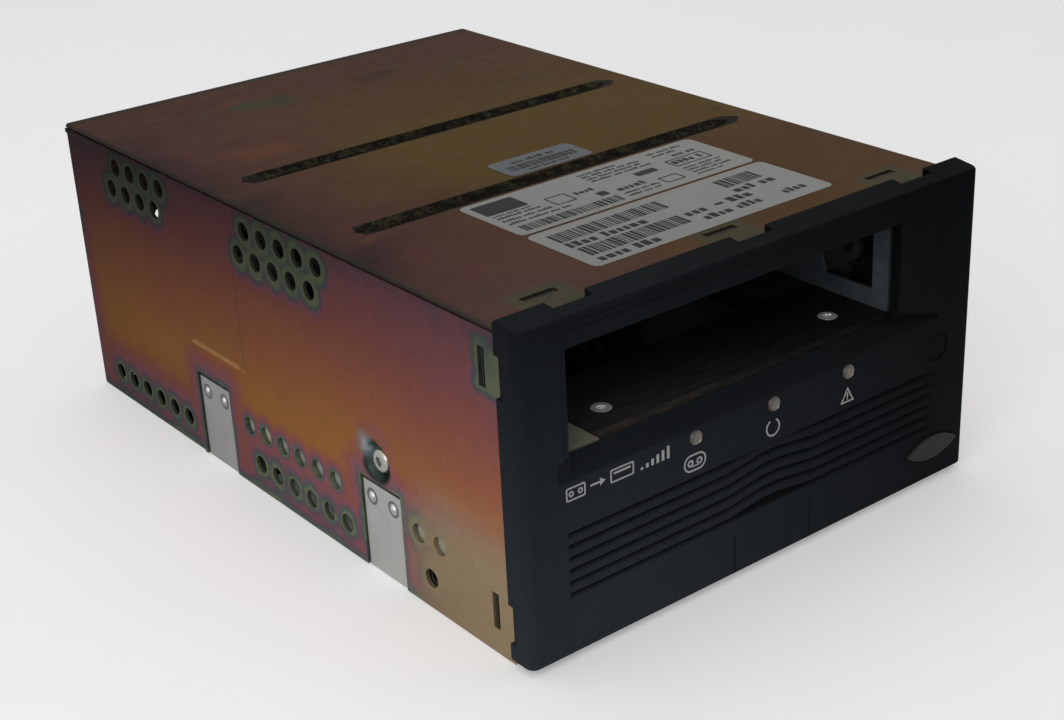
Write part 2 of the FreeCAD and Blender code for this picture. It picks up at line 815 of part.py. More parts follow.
# ---------------------------------------------------------------- cartridge receiver
def make_receiver():
    plate = box(floor_left, floor_right, floor_front, floor_back, shelf_z, floor_top)
    lip = prism([(floor_front - floor_lip, shelf_z + floor_lip_rise),
                 (floor_front - floor_lip, floor_top), (floor_front, floor_top + floor_lip_rise),
                 (floor_front + floor_lip_rise, floor_top), (floor_front + floor_lip_rise, shelf_z)],
                "x", floor_left, floor_right)
    cuts = []
    screws = []
    tapped = []
    for x in floor_screw_xs:
        spot = (x, floor_screw_y)
        cuts += sink_cut(spot, floor_top, 1, floor_thick + over)
        screws.append(flat_screw(spot, floor_top, 1, screw_reach))
        tapped.append(rod("z", spot, shank_core, floor_top - screw_reach - over, floor_top))
    pieces["receiver_floor"] = fuse([plate, lip]).cut(cuts)
    pieces["receiver_screws"] = Part.makeCompound(screws)
    block = prism([(floor_left, deck_top), (floor_left, shelf_z), (floor_right, shelf_z),
                   (floor_right, deck_top), (floor_right - block_relief, deck_top),
                   (floor_right - block_relief, deck_top + over),
                   (floor_left + block_relief, deck_top + over),
                   (floor_left + block_relief, deck_top)], "y", block_front, block_back)
    pieces["receiver_block"] = block.cut(tapped)
    wall = box(wall_right, wall_right + sheet, wall_front, bay_back, deck_top, wall_top)
    window = prism([(window_y, window_z), (window_back, window_z), (window_slope_y, window_top),
                    (window_y, window_top)], "x", wall_right - over, wall_right + sheet + over)
    pieces["receiver_wall_right"] = wall.cut(window)
    pieces["receiver_wall_left"] = box(wall_left - sheet, wall_left, wall_front, bay_back, deck_top,
                                       wall_top)
    pieces["receiver_shelf_left"] = box(wall_left + shelf_gap / 2, floor_left - shelf_gap,
                                        shelf_front, bay_back, shelf_z, floor_top)
    pieces["receiver_shelf_right"] = box(wall_right - shelf_width, wall_right - shelf_gap / 2,
                                         floor_back + shelf_gap, bay_back, shelf_z, floor_top)
    pieces["receiver_lid"] = box(wall_left - sheet, wall_right + sheet, lid_front, bay_back,
                                 wall_top, wall_top + sheet)


# ---------------------------------------------------------------- deck and reels
def motor_spots(x, y):
    turns = [math.radians(90 + i * 360 / motor_screw_count) for i in range(motor_screw_count)]
    return [(x + motor_ring * math.cos(turn), y + motor_ring * math.sin(turn)) for turn in turns]


motor_places = {"supply_motor": (driver_x, driver_y), "takeup_motor": (0, reel_y)}


def make_deck():
    plate = box(-deck_half, deck_half, deck_front, deck_back, deck_z, deck_top)
    plate = rounded(plate, deck_corner,
                    lambda spot: abs(abs(spot.x) - deck_half) < near
                    and abs(spot.z - deck_z - deck_thick / 2) < near)
    legs = []
    for spot in leg_spots():
        leg = rod("z", spot, leg_radius, sheet, deck_z)
        legs.append(leg.cut([rod("z", spot, shank_core, 0, screw_reach + over),
                             sink_cut(spot, 0, -1, sheet)[0]]))
    pieces["deck_legs"] = Part.makeCompound(legs)
    solids = [plate]
    for spot in roller_spots:
        solids.append(rod("z", spot, roller_rim, deck_top, roller_base))
        solids.append(rod("z", spot, roller_post, deck_top, roller_cap))
    solids.append(rod("z", (arm_x, arm_y), arm_post, deck_top, arm_post_top))
    solids.append(rod("z", (arm_x, arm_y), arm_hub, deck_top, arm_z))
    cuts = []
    for place in motor_places.values():
        cuts.append(rod("z", place, spindle_hole, deck_z - over, deck_top + over))
        for spot in motor_spots(*place):
            cuts += sink_cut(spot, deck_top, 1, deck_thick + over)
    cuts.append(rod("z", (head_x, head_y), head_rod_radius + slip, deck_z - over, deck_top + over))
    for side in (-1, 1):
        cuts.append(rod("z", (head_rod_x, head_y + side * head_rod_half), head_rod_radius,
                        deck_z - over, deck_top + over))
    cuts += both([rod("x", (notch_ys[0], dimple_z), shank_core, -deck_half - over,
                      -deck_half + screw_reach)])
    pieces["deck"] = fuse(solids).cut(cuts)
    seat = -half + dimple_depth
    pieces["side_screws"] = Part.makeCompound(both([
        pan_screw("x", (notch_ys[0], dimple_z), seat, -1, screw_reach, side_head, side_depth)]))


def make_motors():
    screws = []
    for name, place in motor_places.items():
        can = rod("z", place, motor_radius, deck_z - motor_height, deck_z)
        can = rounded(can, motor_base, lambda spot: spot.z < deck_z - motor_height + slip)
        base = rod("z", place, motor_base_radius, deck_z - motor_base, deck_z)
        cuts = [rod("z", place, spindle + running, deck_z - motor_height - over, deck_z + over)]
        for spot in motor_spots(*place):
            cuts.append(rod("z", spot, shank_core, deck_top - screw_reach - over, deck_z + over))
            screws.append(flat_screw(spot, deck_top, 1, screw_reach))
        pieces[name] = fuse([can, base]).cut(cuts)
    pieces["motor_screws"] = Part.makeCompound(screws)


def make_reels():
    place = (0, reel_y)
    top = reel_bottom + reel_height
    lower = fuse([rod("z", place, reel_radius, reel_bottom, reel_bottom + reel_web),
                  rod("z", place, spindle, spindle_foot, reel_bottom)])
    hub = rod("z", place, reel_hub, reel_bottom + reel_web, top - reel_web)
    slit = box(-reel_slot / 2, reel_slot / 2, reel_y + reel_hub / 2, reel_y + reel_hub + over,
               reel_bottom + reel_web, top - reel_web)
    upper = rod("z", place, reel_radius, top - reel_web, top)
    pieces["takeup_reel"] = Part.makeCompound([lower, hub.cut(slit), upper])
    place = (driver_x, driver_y)
    disc = rod("z", place, driver_disc, driver_base, driver_disc_top)
    drum = rod("z", place, driver_hub, driver_disc_top, driver_top)
    crown = ring("z", place, driver_hub, driver_ring, driver_top, driver_top + driver_tooth)
    half_tooth = math.pi * driver_hub / driver_teeth / 2
    narrow = half_tooth * driver_ring / driver_hub
    gap = prism([(driver_ring - over, -narrow), (driver_hub + over, -half_tooth),
                 (driver_hub + over, half_tooth), (driver_ring - over, narrow)],
                "z", driver_top, driver_top + driver_tooth + over)
    gap = moved(gap, driver_x, driver_y, 0)
    gaps = [turned(gap, V(driver_x, driver_y, 0), V(0, 0, 1), i * 360 / driver_teeth)
            for i in range(driver_teeth)]
    stem = rod("z", place, spindle, spindle_foot, driver_base)
    pieces["supply_hub"] = fuse([disc, drum, crown.cut(gaps), stem])


def make_rollers():
    for number, spot in enumerate(roller_spots, 1):
        low = roller_base + running
        body = rod("z", spot, roller_radius, low, roller_top)
        rims = [rod("z", spot, roller_rim, low, low + roller_rim_height),
                rod("z", spot, roller_rim, roller_top - roller_rim_height, roller_top)]
        bore = rod("z", spot, roller_post + running, low - over, roller_top + over)
        pieces["guide_roller_%d" % number] = fuse([body] + rims).cut(bore)


def make_head():
    spot = (head_x, head_y)
    rods = [(head_rod_x, head_y - head_rod_half), (head_rod_x, head_y + head_rod_half)]
    top = carriage_z + carriage_height
    block = box(carriage_left, carriage_right, head_y - carriage_half, head_y + carriage_half,
                carriage_z, top)
    cuts = [rod("z", place, head_rod_radius + running, carriage_z - over, top + over)
            for place in rods + [spot]]
    pieces["head_carriage"] = block.cut(cuts)
    low = carriage_z + head_margin
    high = top - head_margin
    plate = box(carriage_right, carriage_right + head_plate, head_y - head_plate_half,
                head_y + head_plate_half, low, high)
    nose = head_nose_half
    tip = carriage_right + head_plate + head_nose
    noses = [prism([(tip - head_nose, head_y + side * head_plate_half / 2 - nose),
                    (tip - head_nose / 4, head_y + side * head_plate_half / 2 - nose),
                    (tip, head_y + side * head_plate_half / 2),
                    (tip - head_nose / 4, head_y + side * head_plate_half / 2 + nose),
                    (tip - head_nose, head_y + side * head_plate_half / 2 + nose)], "z", low, high)
             for side in (-1, 1)]
    pieces["tape_head"] = fuse([plate] + noses)
    pieces["head_guide_rods"] = Part.makeCompound(
        [rod("z", place, head_rod_radius, deck_z, head_rod_top) for place in rods])
    bridge = box(carriage_left, carriage_right, head_y - carriage_half, head_y + carriage_half,
                 head_rod_top, head_rod_top + bridge_height)
    pieces["head_bridge"] = bridge.cut(rod("z", spot, head_rod_radius + running,
                                           head_rod_top - over,
                                           head_rod_top + bridge_height + over))
    pieces["head_lead_screw"] = rod("z", spot, head_rod_radius, screw_foot,
                                    head_rod_top + bridge_height)
    can = rod("z", spot, stepper_radius, deck_z - stepper_height, deck_z)
    pieces["head_stepper"] = can.cut(rod("z", spot, head_rod_radius + running,
                                         deck_z - stepper_height - over, deck_z + over))


def make_leader_arm():
    hub = rod("z", (arm_x, arm_y), arm_hub, arm_z, arm_z + arm_thick)
    end = arm_x + arm_length
    bar = prism([(arm_x, arm_y - arm_hub), (end, arm_y - arm_tip), (end, arm_y + arm_tip),
                 (arm_x, arm_y + arm_hub)], "z", arm_z, arm_z + arm_thick)
    tip = rod("z", (end, arm_y), arm_tip, arm_z, arm_z + arm_thick)
    bore = rod("z", (arm_x, arm_y), arm_post + running, arm_z - over, arm_z + arm_thick + over)
    eye = rod("z", (end, arm_y), arm_tip / 2, arm_z - over, arm_z + arm_thick + over)
    pieces["leader_arm"] = fuse([hub, bar, tip]).cut([bore, eye])


# ---------------------------------------------------------------- loading gear
def gear(teeth, offset, y, z):
    """Spur gear along x with tapered teeth, between the two faces of the gear train."""
    pitch_radius = gear_module * teeth / 2
    root = pitch_radius - gear_root * gear_module
    tip = pitch_radius + gear_module
    step = 2 * math.pi / teeth
    spots = []
    for i in range(teeth):
        middle = (i + offset) * step
        for radius, part in ((root, -tooth_half_root), (tip, -tooth_half_tip),
                             (tip, tooth_half_tip), (root, tooth_half_root)):
            turn = middle + part * step
            spots.append((y + radius * math.cos(turn), z + radius * math.sin(turn)))
    return prism(spots, "x", gear_left, gear_right)


def make_loader():
    pinion_y = gear_y + gear_module * (gear_teeth + pinion_teeth) / 2 + gear_slack
    posts = [rod("x", (gear_y, gear_z), gear_post, plate_x - gear_post_reach, plate_x),
             rod("x", (lever_y, lever_z), lever_post, plate_x - lever_post_reach, plate_x)]
    plate = box(plate_x, plate_x + plate_thick, plate_front, plate_back, deck_top, plate_top)
    foot = box(plate_x, plate_x + plate_foot, plate_front, plate_back, deck_top,
               deck_top + plate_thick)
    shaft_hole = rod("x", (pinion_y, gear_z), load_shaft_hole, plate_x - over,
                     plate_x + plate_thick + over)
    pieces["loader_plate"] = fuse([plate, foot] + posts).cut(shaft_hole)
    wheel = gear(gear_teeth, 0, gear_y, gear_z)
    hub = rod("x", (gear_y, gear_z), gear_bore_hub, gear_left - over / 2, gear_right)
    bore = rod("x", (gear_y, gear_z), gear_post + running, gear_left - over, gear_right + over)
    pieces["load_gear"] = fuse([wheel, hub]).cut(bore)
    motor_left = plate_x + plate_thick
    motor_right = motor_left + load_motor_length
    shaft = rod("x", (pinion_y, gear_z), load_shaft, gear_right, motor_right - over)
    pieces["load_pinion"] = fuse([gear(pinion_teeth, 0.5, pinion_y, gear_z), shaft])
    can = rod("x", (pinion_y, gear_z), load_motor_radius, motor_left, motor_right)
    pieces["load_motor"] = can.cut(rod("x", (pinion_y, gear_z), load_shaft + running,
                                       motor_left - over, motor_right - over / 2))
    lever_right = lever_left + lever_thick
    hub = rod("x", (lever_y, lever_z), lever_hub, lever_left, lever_right)
    tip = rod("x", (lever_foot_y, lever_foot_z), lever_foot, lever_left, lever_right)
    reach = math.hypot(lever_foot_y - lever_y, lever_foot_z - lever_z)
    a = (lever_foot_y - lever_y) / reach
    b = (lever_foot_z - lever_z) / reach
    bar = prism([(lever_y - b * lever_hub, lever_z + a * lever_hub),
                 (lever_foot_y - b * lever_foot, lever_foot_z + a * lever_foot),
                 (lever_foot_y + b * lever_foot, lever_foot_z - a * lever_foot),
                 (lever_y + b * lever_hub, lever_z - a * lever_hub)], "x", lever_left, lever_right)
    bore = rod("x", (lever_y, lever_z), lever_post + running, lever_left - over, lever_right + over)
    pieces["latch_lever"] = fuse([hub, tip, bar]).cut(bore)


# ---------------------------------------------------------------- electronics
def make_boards():
    spots = [(side * spacer_x, y) for side in (-1, 1) for y in spacer_ys]
    board = box(-board_half, board_half, board_front, board_back, board_z, board_top)
    pieces["main_board"] = board.cut([rod("z", spot, shank_free, board_z - over, board_top + over)
                                      for spot in spots])
    pieces["board_spacers"] = Part.makeCompound(
        [ring("z", spot, spacer_radius, shank_core, sheet, board_z) for spot in spots])
    pieces["board_screws"] = Part.makeCompound(
        [pan_screw("z", spot, board_top, 1, screw_reach, pan_head, pan_depth) for spot in spots])
    pieces["board_chips"] = Part.makeCompound(
        [box(share * board_half - a / 2, share * board_half + a / 2, y - b / 2, y + b / 2,
             board_top, board_top + chip_height) for share, y, a, b in chips])
    pieces["capacitors"] = Part.makeCompound(
        [rod("z", (share * board_half, y), can_radius, board_top, board_top + can_height)
         for share, y in cans])
    sink = [box(sink_x - sink_width / 2, sink_x + sink_width / 2, sink_y - sink_length / 2,
                sink_y + sink_length / 2, board_top, board_top + sink_base)]
    pitch = (sink_width - sink_fin) / (sink_fins - 1)
    for i in range(sink_fins):
        x = sink_x - sink_width / 2 + i * pitch
        sink.append(box(x, x + sink_fin, sink_y - sink_length / 2, sink_y + sink_length / 2,
                        board_top, board_top + sink_height))
    pieces["heat_sink"] = fuse(sink)


def make_sockets():
    low = board_top
    body = box(signal_x - signal_width / 2, signal_x + signal_width / 2, signal_front, socket_back,
               low, low + signal_height)
    middle = low + signal_height / 2
    a = signal_recess_width / 2
    b = signal_recess_height / 2
    recess = prism([(signal_x - a, middle + b), (signal_x + a, middle + b),
                    (signal_x + a - b / 2, middle - b), (signal_x - a + b / 2, middle - b)], "y",
                   socket_back - signal_recess, socket_back + over)
    blade = box(signal_x - a + b, signal_x + a - b, socket_back - signal_recess - slip,
                socket_back - over, middle - signal_blade / 2, middle + signal_blade / 2)
    pieces["signal_socket"] = fuse([body.cut(recess), blade])
    body = box(power_x - power_width / 2, power_x + power_width / 2, signal_front, socket_back,
               low, low + power_height)
    a = power_width / 2 - power_wall
    inner = low + power_wall
    high = low + power_height - power_wall
    recess = prism([(power_x - a, inner), (power_x + a, inner), (power_x + a, high - power_wall),
                    (power_x + a - power_wall, high), (power_x - a + power_wall, high),
                    (power_x - a, high - power_wall)], "y", socket_back - power_recess,
                   socket_back + over)
    pins = [rod("y", (power_x + (i - (power_pins - 1) / 2) * power_pitch, low + power_height / 2),
                power_pin, socket_back - power_recess - slip, socket_back - over)
            for i in range(power_pins)]
    pieces["power_socket"] = fuse([body.cut(recess)] + pins)
    base = box(header_x - header_width / 2, header_x + header_width / 2, rear_y - header_base,
               rear_y, low, low + header_rows * header_pitch)
    pins = [box(x - header_pin, x + header_pin, rear_y - header_base - header_pitch, socket_back,
                z - header_pin, z + header_pin)
            for x in [header_x + (i - (header_pins - 1) / 2) * header_pitch
                      for i in range(header_pins)]
            for z in [low + (j + 0.5) * header_pitch for j in range(header_rows)]]
    lead = box(header_x - header_width / 2, header_x + header_width / 2, board_back - header_base,
               rear_y - header_base, low, low + header_pitch)
    pieces["jumper_header"] = fuse([base, lead] + pins)


def make_fan():
    spot = (fan_x, fan_z)
    start = rear_y - fan_depth
    a = fan_size / 2
    body = box(fan_x - a, fan_x + a, start, rear_y, fan_z - a, fan_z + a)
    body = rounded(body, fan_corner, lambda place: abs(place.y - start - fan_depth / 2) < near)
    body = body.cut([rod("y", spot, fan_bore, start - over, rear_y + over)] + [
        rod("y", place, shank_core, start - over, rear_y + over) for place in fan_screw_spots()])
    solids = [body, rod("y", spot, fan_hub, start, start + fan_base)]
    spoke = box(fan_x, fan_x + fan_bore + over / 2, start, start + fan_base,
                fan_z - fan_spoke / 2, fan_z + fan_spoke / 2)
    solids += [turned(spoke, V(fan_x, 0, fan_z), V(0, 1, 0),
                      fan_spoke_turn + i * 360 / fan_spokes)
               for i in range(fan_spokes)]
    solids.append(rod("y", spot, fan_pin, start, rear_y - fan_back_gap - over))
    pieces["fan_frame"] = fuse(solids)
    low = start + fan_base + fan_gap
    high = rear_y - fan_back_gap
    hub = rounded(rod("y", spot, fan_hub, low, high), over,
                  lambda place: place.y > high - slip)
    blade = box(fan_hub - over, fan_bore - fan_tip, -fan_blade_length / 2, fan_blade_length / 2,
                -fan_blade / 2, fan_blade / 2)
    blade = turned(blade, V(0, 0, 0), V(1, 0, 0), fan_pitch_angle)
    blade = moved(blade, fan_x, (low + high) / 2, fan_z)
    keep = ring("y", spot, fan_bore - fan_tip, fan_hub - over, low, high)
    blades = [turned(blade, V(fan_x, 0, fan_z), V(0, 1, 0), i * 360 / fan_blades).common(keep)
              for i in range(fan_blades)]
    bore = rod("y", spot, fan_pin + running, low - over, high - over / 2)
    pieces["fan_rotor"] = fuse([hub] + blades).cut(bore)
    pieces["fan_screws"] = Part.makeCompound(
        [pan_screw("y", place, rear_y + sheet, 1, screw_reach, pan_head, pan_depth)
         for place in fan_screw_spots()])


# ---------------------------------------------------------------- build and write
for make in (make_top_cover, make_wall, make_rail, make_pads, make_bottom, make_rear_panel, make_bezel,
             make_clips, make_lamps, make_eject, make_receiver, make_deck, make_motors,
             make_reels, make_rollers, make_head, make_leader_arm, make_loader, make_boards,
             make_sockets, make_fan):
    make()

os.makedirs("parts", exist_ok=True)
for name, shape in pieces.items():
    moved(shape, 0, frame_shift, 0).exportStep("parts/%s.step" % name)
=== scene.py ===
import math
import random

import bmesh
import bpy
from bpy.props import FloatProperty, FloatVectorProperty, IntProperty, PointerProperty
from mathutils import Matrix, Vector


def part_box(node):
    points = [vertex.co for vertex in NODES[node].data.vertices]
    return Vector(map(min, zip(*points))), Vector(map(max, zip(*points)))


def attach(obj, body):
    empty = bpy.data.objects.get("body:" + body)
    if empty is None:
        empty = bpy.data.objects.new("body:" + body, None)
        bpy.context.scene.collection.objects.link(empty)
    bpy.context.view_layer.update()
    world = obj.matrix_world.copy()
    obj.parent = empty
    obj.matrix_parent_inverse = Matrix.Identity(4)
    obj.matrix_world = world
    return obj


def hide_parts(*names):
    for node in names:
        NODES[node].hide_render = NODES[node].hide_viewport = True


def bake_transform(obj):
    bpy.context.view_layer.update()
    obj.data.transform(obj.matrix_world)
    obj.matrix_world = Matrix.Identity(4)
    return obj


bl_info = {
    "name": "Data Tape Drive",
    "version": (1, 0, 0),
    "blender": (4, 5, 0),
    "location": "3D View > Sidebar > Tape Drive",
    "description": "Dresses the packed tape drive with its finishes, labels and small parts",
    "category": "Object",
}

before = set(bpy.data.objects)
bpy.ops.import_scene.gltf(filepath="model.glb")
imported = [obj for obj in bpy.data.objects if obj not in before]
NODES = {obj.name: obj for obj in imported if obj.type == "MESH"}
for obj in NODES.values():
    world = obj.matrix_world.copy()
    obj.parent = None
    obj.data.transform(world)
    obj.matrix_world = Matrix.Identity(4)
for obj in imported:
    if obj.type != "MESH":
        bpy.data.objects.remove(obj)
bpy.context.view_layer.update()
MM = 0.001
BEZEL_LOW, BEZEL_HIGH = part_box("bezel")
BACK_OF_BEZEL = BEZEL_HIGH.y / MM       # the case starts here; y below is counted from it
FRONT = BEZEL_LOW.y / MM - BACK_OF_BEZEL
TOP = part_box("top_cover")[1].z / MM
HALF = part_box("right_wall")[1].x / MM
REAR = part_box("rear_panel")[1].y / MM - BACK_OF_BEZEL


# ------------------------------------------------------------------ small tools
def at(x, y, z):
    """Millimetres, with y counted from the back of the bezel, to metres in the frame."""
    return Vector((x, y + BACK_OF_BEZEL, z)) * MM


def srgb(red, green, blue):
    """A colour as read on a screen, 0 to 255, to the linear colour that shaders use."""
    def line(value):
        value /= 255
        return value / 12.92 if value <= 0.04045 else ((value + 0.055) / 1.055) ** 2.4
    return (line(red), line(green), line(blue))


def rgba(colour):
    return (colour[0], colour[1], colour[2], 1.0)


def toned(colour, factor, lift=0.0):
    """A colour made darker or lighter."""
    return tuple(min(1.0, channel * factor + lift) for channel in colour)


class Finish:
    """Builds one node material; distances in it are millimetres in the drive's own axes."""

    def __init__(self, name):
        self.material = bpy.data.materials.new(name)
        self.material.use_nodes = True
        self.tree = self.material.node_tree
        self.tree.nodes.clear()
        out = self.node("OutputMaterial")
        self.shader = self.node("BsdfPrincipled")
        self.feed(out.inputs["Surface"], self.shader.outputs["BSDF"])
        coords = self.node("TexCoord").outputs["Object"]
        self.place = self.fill(self.node("VectorMath", operation="MULTIPLY_ADD"), coords,
                               (1 / MM, 1 / MM, 1 / MM), (0.0, -BACK_OF_BEZEL, 0.0))
        split = self.node("SeparateXYZ")
        self.feed(split.inputs[0], self.place)
        self.x, self.y, self.z = split.outputs

    def node(self, kind, **settings):
        made = self.tree.nodes.new("ShaderNode" + kind)
        for name, value in settings.items():
            setattr(made, name, value)
        return made

    def feed(self, socket, value):
        """Links a socket to another one, or sets it to a constant."""
        if isinstance(value, bpy.types.NodeSocket):
            self.tree.links.new(value, socket)
        else:
            socket.default_value = rgba(value) if socket.type == "RGBA" else value

    def fill(self, node, *values, **named):
        """Feeds a node's sockets, in order or by name, and returns its first output."""
        for socket, value in zip(node.inputs, values):
            self.feed(socket, value)
        for name, value in named.items():
            self.feed(node.inputs[name.replace("_", " ")], value)
        return node.outputs[0]

    def num(self, operation, first, second=0.0, third=0.0):
        return self.fill(self.node("Math", operation=operation), first, second, third)

    def plus(self, first, second):
        return self.num("ADD", first, second)

    def minus(self, first, second):
        return self.num("SUBTRACT", first, second)

    def times(self, first, second):
        return self.num("MULTIPLY", first, second)

    def least(self, first, second):
        return self.num("MINIMUM", first, second)

    def most(self, first, second):
        return self.num("MAXIMUM", first, second)

    def off(self, value, level):
        """How far a value is from a level, either way."""
        return self.num("ABSOLUTE", self.minus(value, level))

    def vec(self, operation, first, second=(0.0, 0.0, 0.0)):
        node = self.node("VectorMath", operation=operation)
        self.fill(node, first, second)
        return node.outputs["Value"] if operation == "LENGTH" else node.outputs[0]

    def between(self, value, low, high, start=0.0, end=1.0, smooth=True):
        """Maps a value to start..end as it goes from low to high, and holds it outside."""
        node = self.node("MapRange", interpolation_type="SMOOTHSTEP" if smooth else "LINEAR")
        return self.fill(node, Value=value, From_Min=low, From_Max=high, To_Min=start, To_Max=end)

    def noise(self, size, detail=4.0, rough=0.55, stretch=(1.0, 1.0, 1.0), swirl=0.0, seed=0.0):
        """Soft noise, 0 to 1, whose blotches are about size millimetres across."""
        spot = self.vec("MULTIPLY", self.place, tuple(value / size for value in stretch))
        spot = self.vec("ADD", spot, (seed * 13.7, seed * 7.3, seed * 3.1))
        return self.fill(self.node("TexNoise"), Vector=spot, Scale=1.0, Detail=detail,
                         Roughness=rough, Distortion=swirl)

    def cells(self, size, stretch=(1.0, 1.0, 1.0)):
        """Distance to the middle of the nearest cell, for cells about size millimetres wide."""
        spot = self.vec("MULTIPLY", self.place, tuple(value / size for value in stretch))
        return self.fill(self.node("TexVoronoi"), Vector=spot, Scale=1.0)

    def ramp(self, value, stops):
        node = self.node("ValToRGB")
        bar = node.color_ramp
        while len(bar.elements) < len(stops):
            bar.elements.new(0.5)
        for element, (position, colour) in zip(bar.elements, stops):
            element.position = position
            element.color = rgba(colour)
        return self.fill(node, value)

    def mix(self, amount, first, second):
        node = self.node("Mix", data_type="RGBA", clamp_factor=True)
        for place, value in ((0, amount), (6, first), (7, second)):
            self.feed(node.inputs[place], value)
        return node.outputs[2]

    def lay(self, under, over, value, low, high, most=1.0):
        """Lays a colour over another as a value goes from low to high."""
        return self.mix(self.between(value, low, high, 0.0, most), under, over)

    def distance(self, low, high):
        """Millimetres from a box; a corner of None leaves that axis out."""
        centre, half = [], []
        for a, b in zip(low, high):
            centre.append(0.0 if a is None else (a + b) / 2)
            half.append(1e4 if a is None else (b - a) / 2)
        away = self.vec("SUBTRACT", self.place, tuple(centre))
        away = self.vec("SUBTRACT", self.vec("ABSOLUTE", away), tuple(half))
        return self.vec("LENGTH", self.vec("MAXIMUM", away, (0.0, 0.0, 0.0)))

    def nearest(self, boxes):
        """Distance to the nearest of several boxes."""
        best = self.distance(*boxes[0])
        for low, high in boxes[1:]:
            best = self.num("SMOOTH_MIN", best, self.distance(low, high), 2.0)
        return best

    def closest_hole(self, rows):
        """Distance in the side's plane to the nearest hole of several rows."""
        best = None
        for first, level, count in rows:
            start = self.minus(self.y, first)
            step = self.num("ROUND", self.num("DIVIDE", start, VENT_PITCH))
            step = self.least(self.most(step, 0.0), count - 1.0)
            along = self.minus(start, self.times(step, VENT_PITCH))
            across = self.minus(self.z, level)
            away = self.num("MULTIPLY_ADD", along, along, self.times(across, across))
            away = self.num("SQRT", away)
            best = away if best is None else self.num("SMOOTH_MIN", best, away, 1.0)
        return best

    def shaded(self, colour, amount):
        """A colour times a plain factor."""
        node = self.node("VectorMath", operation="SCALE")
        return self.fill(node, colour, Scale=amount)

    def bump(self, height, distance, strength=1.0, under=None):
        below = {} if under is None else {"Normal": under}
        return self.fill(self.node("Bump"), Strength=strength, Distance=distance * MM,
                         Height=height, **below)

    def done(self, colour, rough, normal=None, metallic=0.0, **sockets):
        if normal is not None:
            sockets["Normal"] = normal
        self.fill(self.shader, Base_Color=colour, Roughness=rough, Metallic=metallic, **sockets)
        return self.material


def dress(kind, *names):
    """Gives carried-over nodes a finish."""
    for name in names:
        mesh = NODES[name].data
        mesh.materials.clear()
        mesh.materials.append(finish(kind))


def piece(name, bm, kind, body="chassis", smooth=None, stands_for=(), bend=None):
    """Turns a finished bmesh into a piece that rides on a body; with a bend, it rides on none and
    keeps its placement baked in.
    """
    bmesh.ops.remove_doubles(bm, verts=bm.verts, dist=1e-7)
    bmesh.ops.recalc_face_normals(bm, faces=bm.faces)
    mesh = bpy.data.meshes.new(name)
    bm.to_mesh(mesh)
    bm.free()
    mesh.materials.append(finish(kind))
    if smooth is not None:
        for polygon in mesh.polygons:
            polygon.use_smooth = True
        mesh.set_sharp_from_angle(angle=math.radians(smooth))
    made = bpy.data.objects.new(name, mesh)
    bpy.context.scene.collection.objects.link(made)
    if bend:
        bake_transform(made)
    else:
        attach(made, body)
    if stands_for:
        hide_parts(*stands_for)
    return made


def spot_on(plane, a, b, level):
    """Point in millimetres on a plane: xy looks down, xz looks back, yz looks across."""
    return {"xy": (a, b, level), "xz": (a, level, b), "yz": (level, a, b)}[plane]


def slab(bm, line, plane, low, high):
    """Closed prism between two levels of a plane."""
    skin(bm, [[bm.verts.new(at(*spot_on(plane, a, b, level))) for a, b in line]
              for level in (low, high)])


def frame_slab(bm, outer, inner, plane, low, high):
    """Closed prism with a hole; both outlines have the same number of corners."""
    loops = []
    for level in (low, high):
        for line in (outer, inner):
            loops.append([bm.verts.new(at(*spot_on(plane, a, b, level))) for a, b in line])
    count = len(outer)
    for first, second in ((0, 1), (2, 3), (0, 2), (1, 3)):
        for i in range(count):
            j = (i + 1) % count
            bm.faces.new((loops[first][i], loops[first][j], loops[second][j], loops[second][i]))


def rectangle(a0, a1, b0, b1):
    return [(a0, b0), (a1, b0), (a1, b1), (a0, b1)]


def rounded_rectangle(a0, a1, b0, b1, radius, steps=5):
    spots = []
    for a, b, start in ((a1 - radius, b0 + radius, -90), (a1 - radius, b1 - radius, 0),
                        (a0 + radius, b1 - radius, 90), (a0 + radius, b0 + radius, 180)):
        for i in range(steps + 1):
            turn = math.radians(start + 90 * i / steps)
            spots.append((a + radius * math.cos(turn), b + radius * math.sin(turn)))
    return spots


def circle(a, b, radius, steps=32, start=0.0, sweep=360.0):
    """A full circle, or an arc with a point at each end."""
    parts = steps if sweep == 360.0 else steps - 1
    turns = [math.radians(start + sweep * i / parts) for i in range(steps)]
    return [(a + radius * math.cos(turn), b + radius * math.sin(turn)) for turn in turns]


def outline(bm, box, line, corner, inner, plane, low, high, steps=5):
    """Closed rounded frame as wide as line; inner is the radius of its hole's corners."""
    a0, a1, b0, b1 = box
    frame_slab(bm, rounded_rectangle(a0, a1, b0, b1, corner, steps),
               rounded_rectangle(a0 + line, a1 - line, b0 + line, b1 - line, inner, steps),
               plane, low, high)


def skin(bm, loops):
    """Closes a solid over loops of equal length that follow each other."""
    count = len(loops[0])
    for first, second in zip(loops, loops[1:]):
        for i in range(count):
            j = (i + 1) % count
            bm.faces.new((first[i], first[j], second[j], second[i]))
    bm.faces.new(loops[0])
    bm.faces.new(loops[-1])


def rings(bm, axis, centre, profile, steps=48):
    """Closed solid from stacked rings; each ring is (radius or a function of the turn, level)."""
    loops = []
    for radius, level in profile:
        loop = []
        for i in range(steps):
            turn = 2 * math.pi * i / steps
            reach = radius(turn) if callable(radius) else radius
            a = centre[0] + reach * math.cos(turn)
            b = centre[1] + reach * math.sin(turn)
            spot = {"x": (level, a, b), "y": (a, level, b), "z": (a, b, level)}[axis]
            loop.append(bm.verts.new(at(*spot)))
        loops.append(loop)
    skin(bm, loops)


def lobes(radius, depth=0.16, count=6):
    return lambda turn: radius * (1 + depth * math.cos(count * turn))


